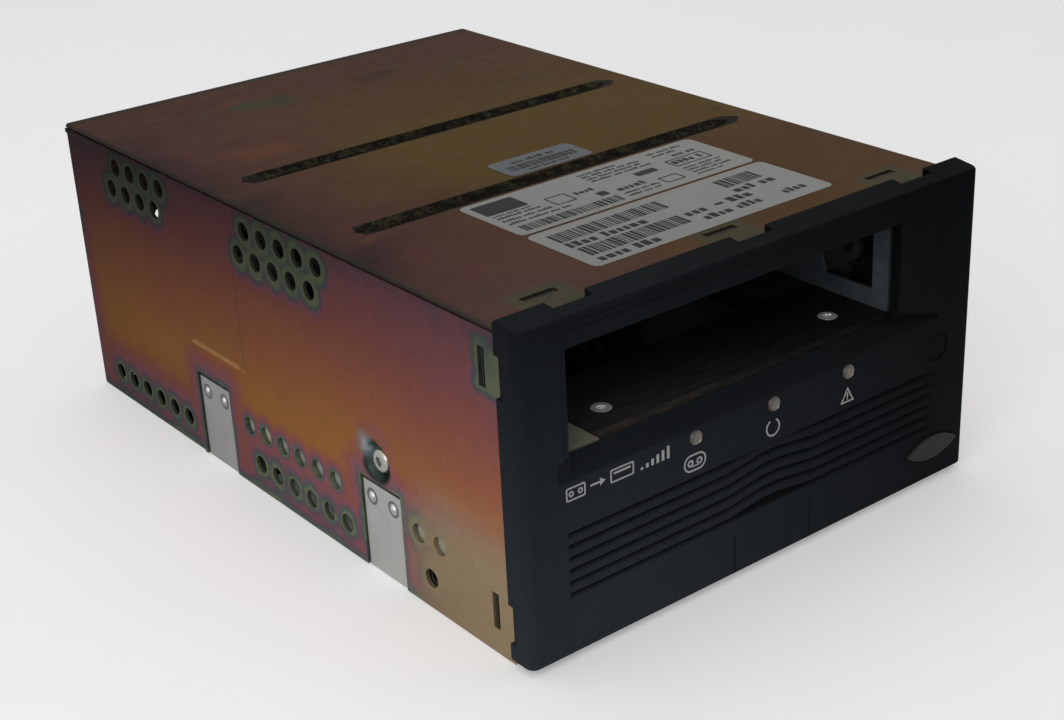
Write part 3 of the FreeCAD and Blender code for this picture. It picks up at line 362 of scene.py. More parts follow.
def strip(bm, left, right, plane, low, high):
    """Closed band between two open lines with the same number of points."""
    loops = [[bm.verts.new(at(*spot_on(plane, a, b, level))) for a, b in line]
             for level in (low, high) for line in (left, right)]
    for i in range(len(left) - 1):
        for first, second in ((0, 1), (2, 3), (0, 2), (1, 3)):
            bm.faces.new((loops[first][i], loops[first][i + 1], loops[second][i + 1],
                          loops[second][i]))
    for i in (0, -1):
        bm.faces.new((loops[0][i], loops[1][i], loops[3][i], loops[2][i]))


def block(bm, x0, x1, y0, y1, z0, z1):
    slab(bm, rectangle(x0, x1, y0, y1), "xy", z0, z1)


def screw_solid(bm, axis, centre, seat, way, head, tall, shank=1.1, length=3.0):
    """Domed screw with a six-lobed socket, standing way from its seat."""
    socket = head * 0.42
    steps = [(shank, -length), (shank, 0.0), (head * 0.98, 0.0), (head, tall * 0.12),
             (head, tall * 0.42), (head * 0.95, tall * 0.66), (head * 0.84, tall * 0.85),
             (head * 0.68, tall * 0.96), (head * 0.52, tall), (lobes(socket), tall),
             (lobes(socket * 0.94), tall * 0.9), (lobes(socket * 0.92), tall * 0.38),
             (socket * 0.5, tall * 0.28), (0.02, tall * 0.24)]
    rings(bm, axis, centre, [(radius, seat + way * rise) for radius, rise in steps])


def flat_screw_solid(bm, centre, seat, way, head=2.55, shank=1.1, length=4.0):
    """Countersunk screw along z with a six-lobed socket, its head flush with the seat."""
    steps = [(shank, -length), (shank, -1.25), (head, -0.12), (head * 0.985, -0.03),
             (head * 0.93, 0.0), (lobes(head * 0.44), 0.0), (lobes(head * 0.42), -0.1),
             (lobes(head * 0.4), -0.9), (head * 0.2, -1.0), (0.02, -1.05)]
    rings(bm, "z", centre, [(radius, seat + way * rise) for radius, rise in steps])


# ------------------------------------------------------------------ what a user can change
def colour_setting(name, description, default):
    return FloatVectorProperty(name=name, description=description, default=default,
                               subtype="COLOR", size=3)


class CaseSettings(bpy.types.PropertyGroup):
    gold: colour_setting("Gold", "Plating where its film is thickest", srgb(134, 91, 50))
    amber: colour_setting("Amber", "Plating between gold and rust", srgb(132, 83, 60))
    rust: colour_setting("Rust", "Plating between gold and rose", srgb(124, 76, 72))
    rose: colour_setting("Rose", "Plating a little way from holes and edges", srgb(120, 78, 84))
    violet: colour_setting("Violet", "Plating near holes and edges", srgb(94, 77, 86))
    teal: colour_setting("Teal", "Thin ring around holes", srgb(74, 88, 84))
    olive: colour_setting("Olive", "Plating right at holes and edges", srgb(98, 104, 84))
    lid: colour_setting("Lid", "Brown of the top cover", srgb(80, 60, 37))
    tin: colour_setting("Bright sheet", "Colour of the bare inner sheet", srgb(140, 140, 138))
    roughness: FloatProperty(name="Roughness", description="Roughness of the plating", min=0.05,
                             max=1.0, default=0.42)


class BezelSettings(bpy.types.PropertyGroup):
    charcoal: colour_setting("Charcoal", "Colour of the moulded bezel", srgb(33, 37, 41))
    key: colour_setting("Eject key", "Colour of the eject button", srgb(25, 29, 28))
    mark: colour_setting("Marks", "Colour of the printed symbols", srgb(150, 152, 153))
    grain: FloatProperty(name="Grain", description="Depth of the moulded grain", min=0.0,
                         max=0.0005, default=0.00003, unit="LENGTH", precision=6)
    mark_proud: FloatProperty(name="Mark height",
                              description="Thickness of the printed symbols", min=0.00001,
                              max=0.0005, default=0.00004, unit="LENGTH", precision=6)


class LabelSettings(bpy.types.PropertyGroup):
    paper: colour_setting("Paper", "Colour of the two large labels", srgb(130, 130, 127))
    tint: colour_setting("Tinted paper", "Colour of the small label", srgb(80, 84, 87))
    ink: colour_setting("Ink", "Colour of the printing", srgb(20, 20, 20))
    thickness: FloatProperty(name="Label thickness", description="Thickness of each label",
                             min=0.00002, max=0.001, default=0.0001, unit="LENGTH", precision=6)
    corner: FloatProperty(name="Corner radius", description="Radius of the label corners",
                          min=0.0001, max=0.005, default=0.002, unit="LENGTH", precision=5)
    pattern: IntProperty(name="Bar pattern", description="Number that sets the printed bars",
                         min=0, default=7)


class StageSettings(bpy.types.PropertyGroup):
    floor: colour_setting("Floor", "Colour of the floor", (0.80, 0.80, 0.80))
    key_light: FloatProperty(name="Key light",
                             description="Power of the light at the front left", min=0.0,
                             subtype="POWER", default=3.6)
    top_light: FloatProperty(name="Top light", description="Power of the light above", min=0.0,
                             subtype="POWER", default=2.0)
    lens: FloatProperty(name="Lens", description="Focal length of the camera in millimetres",
                        min=10.0, max=300.0, default=61.157, subtype="DISTANCE_CAMERA")


# ------------------------------------------------------------------ finishes
UPPER_VENTS = ((152.7, 77.0, 4), (157.0, 69.9, 4), (72.1, 77.2, 5), (76.3, 69.9, 5))
LOWER_VENTS = ((152.7, 7.9, 6), (72.8, 18.9, 6), (68.8, 8.2, 6))
FRONT_VENTS = ((27.6, 19.2, 2), (32.0, 8.5, 1))       # first hole y, z and how many in the row
VENT_PITCH = 8.5
NOTCHES = (51.9, 134.1)                # y of the two notches in each side's lower edge
NOTCH_REACH = 8.7
NOTCH_TOP = 26.1
SNAPS = (11.5, 73.2)                   # z of the bezel's snap slots in each side
RAIL_BUTTONS = (-4.6, 4.6)             # half-sheared buttons, from the middle of each notch
BUTTON_LEVEL = 20.8
BUTTON_RADIUS = 1.9
DIMPLE_LEFT, DIMPLE_RIGHT = (None, 52.4, 31.4), (None, 53.0, 32.0)
RING_RADIUS = 7.4                      # of the rose ring round the dimple
SLITS = (-54.5, 0.2, 55.7)             # x of the slits in the lid's front edge
SLIT_REACH = 6.2
BEADS = (70.3, 123.4)                  # y of the lid's two pressed beads
BEAD_LEFT, BEAD_RIGHT, BEAD_REACH = -62.2, 66.4, 3.75
LAMPS = (-23.8, 1.6, 27.4)             # x of the three lamps
LAMP_LEVEL = 43.8
ROUNDEL = (61.2, 39.6)                 # x and z of the shallow round recess at the right
ROUNDEL_RADIUS = 3.7
STEP_LINES = (83.4, 81.9)              # z of the bezel's two fine steps
SEAMS = (14.9, -11.0)                  # x of the two seams across the bezel
PAD_SHADE_LEDGE = (15.0, 13.0)               # the pads' painted shade begins between these heights
PLATING_TINT = (0.35, 0.35, 0.35, 1.0)


def plated_side(case):
    """Yellow passivated zinc; its film thins towards holes and edges, from gold to olive."""
    f = Finish("plated_side")
    wander = f.noise(30.0, detail=4.0, rough=0.5, stretch=(1.0, 0.6, 1.0), swirl=0.5)
    smear = f.noise(8.0, detail=4.0, stretch=(1.0, 0.5, 1.2), swirl=1.0, seed=4.0)
    fine = f.noise(2.6, detail=6.0, rough=0.7, seed=2.0)
    drift = f.times(f.minus(wander, 0.5), 22.0)
    nudge = f.times(f.minus(smear, 0.5), 3.6)

    upper = f.closest_hole(UPPER_VENTS)
    lower = f.closest_hole(LOWER_VENTS[:1] + LOWER_VENTS[2:])
    middle = f.closest_hole(LOWER_VENTS[1:2])
    front = f.closest_hole(FRONT_VENTS)
    notches = f.nearest([((None, y - NOTCH_REACH, -5.0),
                          (None, y + NOTCH_REACH, NOTCH_TOP)) for y in NOTCHES])
    snaps = f.nearest([((None, -4.0, z - 5.0), (None, 7.4, z + 5.0)) for z in SNAPS])
    corner = f.distance((None, -20.0, -20.0), (None, 22.0, 16.0))
    thick = f.between(f.plus(f.z, drift), 82.0, 27.0, 0.20, 0.95, smooth=False)
    thick = f.times(thick, f.between(f.plus(f.y, drift), 70.0, 5.0, 1.0, 0.78))
    for away, near, far, stray in (
            (upper, 3.8, 14.5, 0.5), (lower, 2.9, 15.5, 0.6), (middle, 2.5, 7.8, 0.3),
            (front, 3.6, 19.0, 1.0), (notches, -0.4, 11.0, 0.8), (snaps, 0.6, 12.0, 1.0),
            (corner, 4.0, 24.0, 2.4), (f.z, 0.0, 17.0, 1.0),
            (f.minus(TOP, f.z), -4.0, 14.0, 0.4),
            (f.minus(REAR, f.y), -3.0, 8.0, 1.0)):
        spread = f.plus(away, f.times(nudge, stray))
        thick = f.num("SMOOTH_MIN", thick, f.between(spread, near, far, smooth=False), 0.05)
    thick = f.plus(thick, f.between(smear, 0.25, 0.75, -0.04, 0.04))
    body = f.ramp(thick, [
        (0.0, case.olive), (0.06, case.teal), (0.14, case.violet), (0.24, case.rose),
        (0.42, case.rust), (0.66, case.amber), (0.90, case.gold)])
    pale = f.plus(corner, f.times(nudge, 3.0))
    body = f.lay(body, srgb(126, 108, 86), pale, 26.0, 6.0, 0.9)
    ring = f.off(f.distance((None, 52.6, 32.6), (None, 53.0, 33.0)), RING_RADIUS)
    ring = f.plus(ring, f.times(nudge, 0.6))
    body = f.lay(body, case.rose, ring, 3.0, 0.6, 0.45)
    # painted shadow: dark in the pressed dimple round the side screw
    dimple = f.distance(DIMPLE_LEFT, DIMPLE_RIGHT)
    body = f.lay(body, srgb(38, 46, 42), f.plus(dimple, nudge), 6.4, 4.8)
    # painted highlight: pale teal with a near-white middle, just above and behind the side screw
    painted_highlight = f.plus(f.distance((None, 56.4, 34.2), (None, 57.6, 36.0)), f.times(nudge, 0.7))
    body = f.lay(body, srgb(112, 128, 134), painted_highlight, 4.2, 0.4, 0.6)
    body = f.lay(body, srgb(166, 168, 170), painted_highlight, 1.4, 0.0, 0.4)
    # painted highlight: a bright line where the ledge under the inset panel faces up
    ledge_highlight = f.distance((None, 118.5, 35.0), (None, 143.0, 35.4))
    body = f.lay(body, srgb(176, 140, 96), ledge_highlight, 0.8, 0.1, 0.32)
    # painted shade: a dark line down the step at the front of the inset panel
    step_shade = f.distance((None, 114.8, 37.0), (None, 115.0, 90.0))
    body = f.lay(body, srgb(66, 58, 60), step_shade, 1.0, 0.2, 0.3)
    # painted shade: brighter at the front, darker towards the rear and, above z 28, towards the
    # top; the fine noise adds a random tone
    shade = f.between(f.plus(f.y, f.times(drift, 0.5)), 0.0, 205.0, 1.36, 0.56, smooth=False)
    above = f.most(f.minus(f.z, 28.0), 0.0)
    fall = f.between(f.y, 0.0, 160.0, 0.0135, 0.0182, smooth=False)
    shade = f.times(shade, f.minus(1.24, f.times(above, fall)))
    shade = f.times(shade, f.between(fine, 0.3, 0.7, 0.95, 1.04))
    body = f.shaded(body, shade)
    rough = f.between(f.noise(5.0, detail=5.0, seed=7.0), 0.2, 0.8, case.roughness - 0.08,
                      case.roughness + 0.10)
    grain = f.noise(0.5, detail=3.0, seed=9.0)
    dents = f.noise(11.0, detail=2.0, seed=5.0)
    normal = f.bump(dents, 0.05, 0.4, f.bump(grain, 0.01, 0.35))
    return f.done(body, rough, normal, metallic=0.7, Specular_Tint=PLATING_TINT,
                  Specular_IOR_Level=0.1)


def plated_lid(case):
    """The same plating on the top cover: brown, olive between the beads, plum at the left, and
    painted shade in the pressed beads.
    """
    f = Finish("plated_lid")
    wander = f.noise(34.0, detail=4.0, rough=0.55, stretch=(0.8, 1.0, 1.0), swirl=0.9, seed=1.0)
    smear = f.noise(11.0, detail=5.0, stretch=(0.5, 1.1, 1.0), swirl=1.5, seed=3.0)
    streak = f.noise(16.0, detail=3.0, stretch=(0.7, 0.7, 1.0), swirl=2.0, seed=14.0)
    fine = f.noise(3.4, detail=4.0, rough=0.6, seed=6.0)
    drift = f.times(f.minus(wander, 0.5), 30.0)
    across = f.plus(f.x, drift)
    along = f.plus(f.y, drift)
    body = f.ramp(f.between(across, -73.0, 73.0, smooth=False), [
        (0.0, srgb(50, 36, 36)), (0.10, srgb(74, 48, 45)), (0.42, case.lid),
        (0.75, srgb(79, 59, 36)), (1.0, srgb(82, 60, 42))])
    body = f.lay(body, srgb(73, 47, 40), along, 150.0, 200.0, 0.8)
    middle = f.times(f.between(along, 62.0, 82.0), f.between(along, 150.0, 112.0))
    body = f.mix(f.times(middle, f.between(across, -62.0, 0.0, 0.1, 0.9)), body,
                 srgb(84, 67, 31))
    front_left = f.times(f.between(along, 60.0, 12.0), f.between(across, 0.0, -50.0))
    body = f.mix(f.times(front_left, 0.8), body, srgb(82, 60, 53))
    body = f.lay(body, srgb(86, 52, 46), smear, 0.55, 0.75, 0.5)
    body = f.lay(body, srgb(62, 58, 42), smear, 0.42, 0.26, 0.45)
    body = f.lay(body, srgb(96, 66, 44), streak, 0.60, 0.78, 0.5)
    for spot, reach, tone in (((-20.0, 181.0), 7.0, srgb(48, 62, 44)),
                              ((-45.0, 142.0), 9.0, srgb(96, 60, 44)),
                              ((19.0, 182.0), 4.0, srgb(58, 42, 36))):
        patch = f.distance((spot[0] - 5.0, spot[1] - 1.0, None),
                           (spot[0] + 5.0, spot[1] + 1.0, None))
        patch = f.plus(patch, f.between(smear, 0.2, 0.8, -4.0, 4.0))
        body = f.lay(body, tone, patch, reach, 0.0, 0.6)
    slits = f.nearest([((x - SLIT_REACH, -1.0, None),
                        (x + SLIT_REACH, 11.0, None)) for x in SLITS])
    body = f.lay(body, srgb(66, 68, 54), f.plus(slits, f.times(smear, 4.0)), 5.0, 1.8, 0.8)
    edge = f.least(f.minus(HALF, f.num("ABSOLUTE", f.x)), f.minus(REAR, f.y))
    body = f.lay(body, srgb(46, 47, 42), edge, 1.8, 0.5, 0.7)
    shade = f.between(fine, 0.3, 0.7, 0.96, 1.04)
    shade = f.times(shade, f.between(wander, 0.2, 0.8, 0.90, 1.05))
    # painted shade: the pressed beads are filled near black, flecked with olive, out to their
    # pointed ends
    reach = f.least(f.times(f.minus(BEAD_RIGHT, f.x), 0.85),
                    f.times(f.minus(f.x, BEAD_LEFT), 2.5))
    reach = f.least(reach, BEAD_REACH)
    off_bead = f.least(f.off(f.y, BEADS[0]), f.off(f.y, BEADS[1]))
    speck = f.noise(2.4, detail=6.0, rough=0.85, seed=8.0)
    bead_shade = f.mix(f.between(speck, 0.46, 0.62), srgb(17, 14, 12), srgb(46, 45, 31))
    inside = f.between(f.minus(reach, off_bead), -0.25, 0.45)
    body = f.mix(inside, f.shaded(body, shade), bead_shade)
    rough = f.between(f.noise(6.0, detail=5.0, seed=12.0), 0.2, 0.8, case.roughness,
                      case.roughness + 0.14)
    normal = f.bump(f.noise(13.0, detail=2.0, seed=15.0), 0.05, 0.4,
                    f.bump(f.noise(0.45, detail=3.0, seed=11.0), 0.012, 0.4))
    return f.done(body, rough, normal, metallic=0.7, Specular_Tint=PLATING_TINT,
                  Specular_IOR_Level=0.1)


def plated_plain(case):
    """Plating on the rear panel."""
    f = Finish("plated_plain")
    wander = f.noise(22.0, detail=5.0, swirl=1.0, seed=21.0)
    body = f.ramp(wander, [(0.2, srgb(112, 106, 78)), (0.42, case.gold), (0.58, case.rose),
                           (0.8, srgb(120, 104, 66))])
    body = f.lay(body, srgb(92, 88, 70), f.noise(2.0, detail=6.0, seed=22.0), 0.35, 0.7, 0.25)
    normal = f.bump(f.noise(0.5, seed=23.0), 0.012, 0.4)
    return f.done(body, case.roughness, normal, metallic=0.8)


def bare_sheet(case):
    """Bright tinned sheet with faint rolling lines and finger smudges."""
    f = Finish("bare_sheet")
    lines = f.noise(1.2, detail=4.0, stretch=(1.0, 0.06, 3.0), seed=31.0)
    smudge = f.noise(12.0, detail=5.0, swirl=1.0, seed=32.0)
    body = f.mix(f.between(lines, 0.3, 0.7), toned(case.tin, 0.88), case.tin)
    body = f.lay(body, srgb(132, 132, 126), smudge, 0.5, 0.8, 0.4)
    rough = f.between(smudge, 0.25, 0.75, 0.34, 0.5)
    normal = f.bump(f.noise(7.0, detail=2.0, seed=34.0), 0.05, 0.4, f.bump(lines, 0.01, 0.3))
    return f.done(body, rough, normal, metallic=0.65)


def rail_sheet(case):
    """Bright sheet of the rails, darker towards the rear as painted shade, with painted shade
    rings round the half-sheared buttons of each tab and a painted glint on each.
    """
    f = Finish("rail_sheet")
    lines = f.noise(1.2, detail=4.0, stretch=(1.0, 3.0, 0.2), seed=37.0)
    smudge = f.noise(9.0, detail=5.0, swirl=1.0, seed=38.0)
    bright = toned(case.tin, 1.4)
    body = f.mix(f.between(lines, 0.3, 0.7), toned(bright, 0.92), bright)
    body = f.lay(body, toned(bright, 0.8), smudge, 0.5, 0.8, 0.35)
    # painted shade: brighter at the front, darker towards the rear
    body = f.shaded(body, f.between(f.y, 40.0, 150.0, 1.2, 0.8))
    # painted shade: a dark ring round each half-sheared button
    spots = f.nearest([((None, y + side, BUTTON_LEVEL), (None, y + side, BUTTON_LEVEL))
                       for y in NOTCHES for side in RAIL_BUTTONS])
    body = f.lay(body, srgb(44, 42, 40), f.off(spots, BUTTON_RADIUS), 0.6, 0.15, 0.8)
    # painted highlight: a small glint on each button
    glint = f.nearest([((None, y + side - 0.4, 21.5), (None, y + side - 0.3, 21.6))
                       for y in NOTCHES for side in RAIL_BUTTONS])
    body = f.lay(body, srgb(226, 226, 224), glint, 0.9, 0.3, 0.9)
    rough = f.between(smudge, 0.25, 0.75, 0.34, 0.5)
    return f.done(body, rough, f.bump(lines, 0.01, 0.3), metallic=0.65)


def side_plate():
    """Blue-grey sheet of the receiver's walls, mottled with grime; painted shade darkens it away
    from the opening.
    """
    f = Finish("side_plate_sheet")
    lines = f.noise(0.9, detail=4.0, stretch=(1.0, 0.1, 2.0), seed=59.0)
    grime = f.noise(7.0, detail=5.0, swirl=0.8, seed=58.0)
    body = f.mix(f.between(lines, 0.3, 0.7), srgb(82, 91, 97), srgb(96, 105, 111))
    # painted shade: darker away from the opening; the grime noise mottles it
    body = f.shaded(body, f.times(f.between(f.y, 8.0, 60.0, 1.0, 0.12),
                                  f.between(grime, 0.3, 0.8, 1.0, 0.7)))
    return f.done(body, f.between(grime, 0.2, 0.8, 0.42, 0.56), f.bump(lines, 0.01, 0.3),
                  metallic=0.3)


def pad_finish():
    """Die-cast mounting pads: bare above their ledge, with nearly black painted shade below it.
    """
    f = Finish("mount_pads")
    flow = f.noise(18.0, detail=5.0, swirl=1.4, seed=64.0)
    sand = f.noise(0.6, detail=4.0, rough=0.7, seed=65.0)
    body = f.mix(f.between(flow, 0.3, 0.7), srgb(150, 146, 132), srgb(188, 184, 168))
    # painted shade: nearly black below the ledge, where the lower vents look into the dark
    body = f.lay(body, srgb(14, 13, 13), f.z, *PAD_SHADE_LEDGE)
    body = f.lay(body, srgb(120, 118, 110), sand, 0.55, 0.8, 0.3)
    return f.done(body, f.between(flow, 0.2, 0.8, 0.42, 0.6), f.bump(sand, 0.04, 0.6),
                  metallic=0.3)


def lined_sheet(case):
    """The bottom sheet: bright outside, with a dark insulating film on its inner face."""
    f = Finish("lined_sheet")
    lines = f.noise(1.2, detail=4.0, stretch=(1.0, 0.06, 3.0), seed=35.0)
    smudge = f.noise(14.0, detail=5.0, swirl=1.0, seed=36.0)
    body = f.mix(f.between(lines, 0.3, 0.7), toned(case.tin, 0.86), case.tin)
    body = f.lay(body, srgb(120, 119, 112), smudge, 0.5, 0.8, 0.4)
    inside = f.between(f.z, 0.5, 0.7)
    body = f.mix(inside, body, f.mix(f.between(smudge, 0.3, 0.7), srgb(22, 22, 21),
                                     srgb(32, 31, 29)))
    rough = f.between(smudge, 0.25, 0.75, 0.36, 0.5)
    return f.done(body, rough, f.bump(lines, 0.01, 0.3), metallic=0.4)


def moulded(name, colour, grain=0.03, rough=0.55, spread=0.05, seed=0.0, shine=0.25):
    """Moulded plastic with a fine spark-eroded grain and slight scuffs."""
    f = Finish(name)
    scuff = f.noise(8.0, detail=6.0, rough=0.65, stretch=(1.0, 1.0, 0.6), swirl=0.8,
                    seed=seed + 1.0)
    fleck = f.noise(0.9, detail=5.0, rough=0.8, seed=seed + 2.0)
    lighter = toned(colour, 1.22, 0.002)
    darker = toned(colour, 0.84)
    body = f.mix(f.between(scuff, 0.3, 0.75), darker, lighter)
    body = f.lay(body, toned(colour, 1.5), fleck, 0.55, 0.8, 0.35)
    roughness = f.between(scuff, 0.25, 0.75, rough - spread, rough + spread)
    pits = f.cells(0.42)
    normal = f.bump(pits, grain, 0.55, f.bump(f.noise(0.3, detail=2.0, seed=seed), grain * 0.5,
                                              0.4))
    return f.done(body, roughness, normal, Specular_IOR_Level=shine)


def bezel_finish(look):
    """Charcoal moulding of the bezel with handling marks; painted light makes it brighter at the
    left and the bottom, and painted shade darkens its grooves between paler ridges, its sill, its
    fine steps and the rim of its round recess.
    """
    f = Finish("bezel_charcoal")
    grain = look.grain / MM
    scuff = f.noise(14.0, detail=6.0, rough=0.65, stretch=(0.7, 1.0, 1.0), swirl=0.8, seed=41.0)
    dust = f.noise(0.8, detail=6.0, rough=0.85, seed=42.0)
    base = look.charcoal
    worn = f.mix(f.between(scuff, 0.50, 0.80, 0.0, 0.35), base, toned(base, 1.5))
    worn = f.lay(worn, srgb(62, 65, 66), dust, 0.64, 0.80, 0.25)
    # painted light: brighter at the left and the bottom, darker to the right and the top
    light = f.times(f.between(f.x, -48.0, 60.0, 1.0, 0.27, smooth=False),
                    f.between(f.z, 84.0, 2.0, 0.52, 1.75, smooth=False))
    body = f.shaded(worn, light)
    # painted shade: a dark line along the rim of the shallow round recess
    ring = f.distance((ROUNDEL[0], None, ROUNDEL[1]), (ROUNDEL[0], None, ROUNDEL[1]))
    ring = f.off(ring, ROUNDEL_RADIUS)
    body = f.lay(body, toned(base, 0.12), ring, 0.8, 0.1, 0.55)
    # painted shadow on the chamfer under the opening
    sill_shadow = f.distance((-64.0, None, 46.8), (60.0, None, 50.6))
    body = f.lay(body, toned(base, 0.25), sill_shadow, 1.0, 0.2, 0.5)
    # painted shadow: a dark line along each of the two fine steps
    for level in STEP_LINES:
        step = f.distance((-62.0, None, level), (58.0, None, level))
        body = f.lay(body, toned(base, 0.2), step, 0.45, 0.1, 0.6)
    # painted shade in the grooves between the ribs, where they sink behind the front
    ribs = f.distance((-66.0, None, 14.5), (68.0, None, 35.0))
    groove_shade = f.times(f.between(ribs, 1.5, 0.3), f.between(f.y, FRONT + 0.05, FRONT + 0.7))
    body = f.mix(f.times(groove_shade, 0.85), body, toned(base, 0.08))
    seams = f.least(f.off(f.x, SEAMS[0]), f.off(f.x, SEAMS[1]))
    lower = f.most(f.between(f.z, 14.0, 11.0), f.times(f.between(f.z, 38.0, 40.0, 0.0, 0.35),
                                                       f.between(f.z, 49.0, 47.0)))
    seams = f.times(f.between(seams, 0.5, 0.1), lower)
    body = f.mix(f.times(seams, 0.7), body, toned(base, 0.2))
    roughness = f.between(scuff, 0.25, 0.75, 0.48, 0.62)
    pits = f.cells(0.45)
    normal = f.bump(pits, grain, 0.6, f.bump(f.noise(0.3, detail=2.0, seed=43.0), grain * 0.6,
                                             0.5))
    return f.done(body, roughness, normal, Specular_IOR_Level=0.012)


def steel(name, colour, rough=0.35, turned=(1.0, 1.0, 1.0), seed=0.0, metallic=0.85):
    """Machined or rolled steel with fine tool lines."""
    f = Finish(name)
    lines = f.noise(0.7, detail=4.0, stretch=turned, seed=seed + 50.0)
    stain = f.noise(5.0, detail=5.0, swirl=0.7, seed=seed + 51.0)
    body = f.mix(f.between(stain, 0.3, 0.75), toned(colour, 0.78), colour)
    body = f.lay(body, toned(colour, 1.2), lines, 0.35, 0.7, 0.4)
    roughness = f.between(stain, 0.2, 0.8, rough - 0.06, rough + 0.1)
    return f.done(body, roughness, f.bump(lines, 0.01, 0.4), metallic=metallic)


def cast_metal(name, colour, seed=0.0):
    """Die-cast alloy: fine sandy skin with darker flow marks."""
    f = Finish(name)
    flow = f.noise(18.0, detail=5.0, swirl=1.4, seed=seed + 60.0)
    sand = f.noise(0.6, detail=4.0, rough=0.7, seed=seed + 61.0)
    body = f.mix(f.between(flow, 0.3, 0.7), toned(colour, 0.8), colour)
    body = f.lay(body, toned(colour, 1.3), sand, 0.55, 0.8, 0.4)
    return f.done(body, f.between(flow, 0.2, 0.8, 0.42, 0.6), f.bump(sand, 0.04, 0.6),
                  metallic=0.6)


def worn_black():
    """Black painted plate of the receiver, rubbed bright along its front lip; painted light makes
    it brighter at the left and the front, and painted shade darker deeper in the opening.
    """
    f = Finish("receiver_black")
    rub = f.noise(3.2, detail=7.0, rough=0.75, stretch=(0.6, 2.0, 1.0), seed=70.0)
    fleck = f.noise(0.8, detail=5.0, rough=0.8, seed=71.0)
    lip = f.plus(f.y, f.times(rub, 2.4))
    body = f.mix(f.between(rub, 0.3, 0.7), srgb(22, 20, 18), srgb(36, 33, 30))
    body = f.lay(body, srgb(58, 54, 46), fleck, 0.62, 0.8, 0.4)
    # painted light and shade: brighter at the left and at the front, darker deeper in the opening
    light = f.times(f.between(f.x, -50.0, 30.0, 2.6, 0.8),
                    f.between(f.y, -2.0, 34.0, 1.1, 0.35))
    body = f.shaded(body, light)
    body = f.lay(body, srgb(84, 76, 64), lip, -1.8, -3.2, 0.9)
    rough = f.between(rub, 0.2, 0.8, 0.4, 0.6)
    return f.done(body, rough, f.bump(fleck, 0.02, 0.5), metallic=0.2, Specular_IOR_Level=0.2)


def board_finish():
    """Green solder mask with faint copper runs under it."""
    f = Finish("solder_mask")
    runs = f.cells(3.4, stretch=(1.0, 0.3, 1.0))
    cross = f.cells(3.0, stretch=(0.3, 1.0, 1.0))
    tracks = f.most(f.between(runs, 0.42, 0.46), f.between(cross, 0.44, 0.48))
    tone = f.noise(20.0, seed=81.0)
    body = f.mix(f.between(tone, 0.3, 0.7), srgb(14, 62, 38), srgb(18, 72, 44))
    body = f.mix(f.times(tracks, 0.55), body, srgb(46, 104, 62))
    return f.done(body, 0.38, f.bump(tracks, 0.02, 0.4), Coat_Weight=0.25, Coat_Roughness=0.2)


def paper(name, colour, seed=0.0):
    """Printed label stock: slightly mottled, darker towards the left, with a faint sheen."""
    f = Finish(name)
    mottle = f.noise(9.0, detail=6.0, rough=0.6, swirl=0.6, seed=seed + 90.0)
    fibre = f.noise(0.5, detail=4.0, stretch=(0.5, 1.0, 1.0), seed=seed + 91.0)
    body = f.mix(f.between(mottle, 0.3, 0.75), toned(colour, 0.86), colour)
    body = f.lay(body, toned(colour, 0.8), fibre, 0.5, 0.8, 0.2)
    body = f.mix(f.between(f.x, -34.0, 42.0, 0.25, 0.0), body, toned(colour, 0.72))
    return f.done(body, f.between(mottle, 0.2, 0.8, 0.38, 0.5), f.bump(fibre, 0.006, 0.4),
                  Specular_IOR_Level=0.08)


def ink_finish(name, colour, seed=0.0):
    """Thermal print: slightly uneven, a little glossier where it is dense."""
    f = Finish(name)
    patch = f.noise(0.7, detail=5.0, rough=0.7, seed=seed + 95.0)
    body = f.mix(f.between(patch, 0.45, 0.75, 0.0, 0.35), colour, toned(colour, 1.8, 0.01))
    return f.done(body, f.between(patch, 0.2, 0.8, 0.42, 0.55), f.bump(patch, 0.003, 0.4),
                  Specular_IOR_Level=0.05)


def lens_finish(name, colour):
    """Milky light pipe, darker at its rim."""
    f = Finish(name)
    cloud = f.noise(1.2, detail=4.0, seed=101.0)
    body = f.mix(f.between(cloud, 0.3, 0.7), toned(colour, 0.75), colour)
    spots = [f.distance((x, None, LAMP_LEVEL), (x, None, LAMP_LEVEL)) for x in LAMPS]
    away = f.least(f.least(spots[0], spots[1]), spots[2])
    body = f.lay(body, toned(colour, 0.25), away, 0.9, 2.0)
    glints = [f.distance((x + 0.9, None, LAMP_LEVEL - 1.1),
                         (x + 1.0, None, LAMP_LEVEL - 1.0)) for x in LAMPS]
    glint = f.least(f.least(glints[0], glints[1]), glints[2])
    body = f.lay(body, srgb(190, 184, 176), glint, 0.55, 0.2, 0.9)
    return f.done(body, 0.28, f.bump(cloud, 0.01, 0.3), Coat_Weight=0.15, Coat_Roughness=0.12,
                  Specular_IOR_Level=0.4)


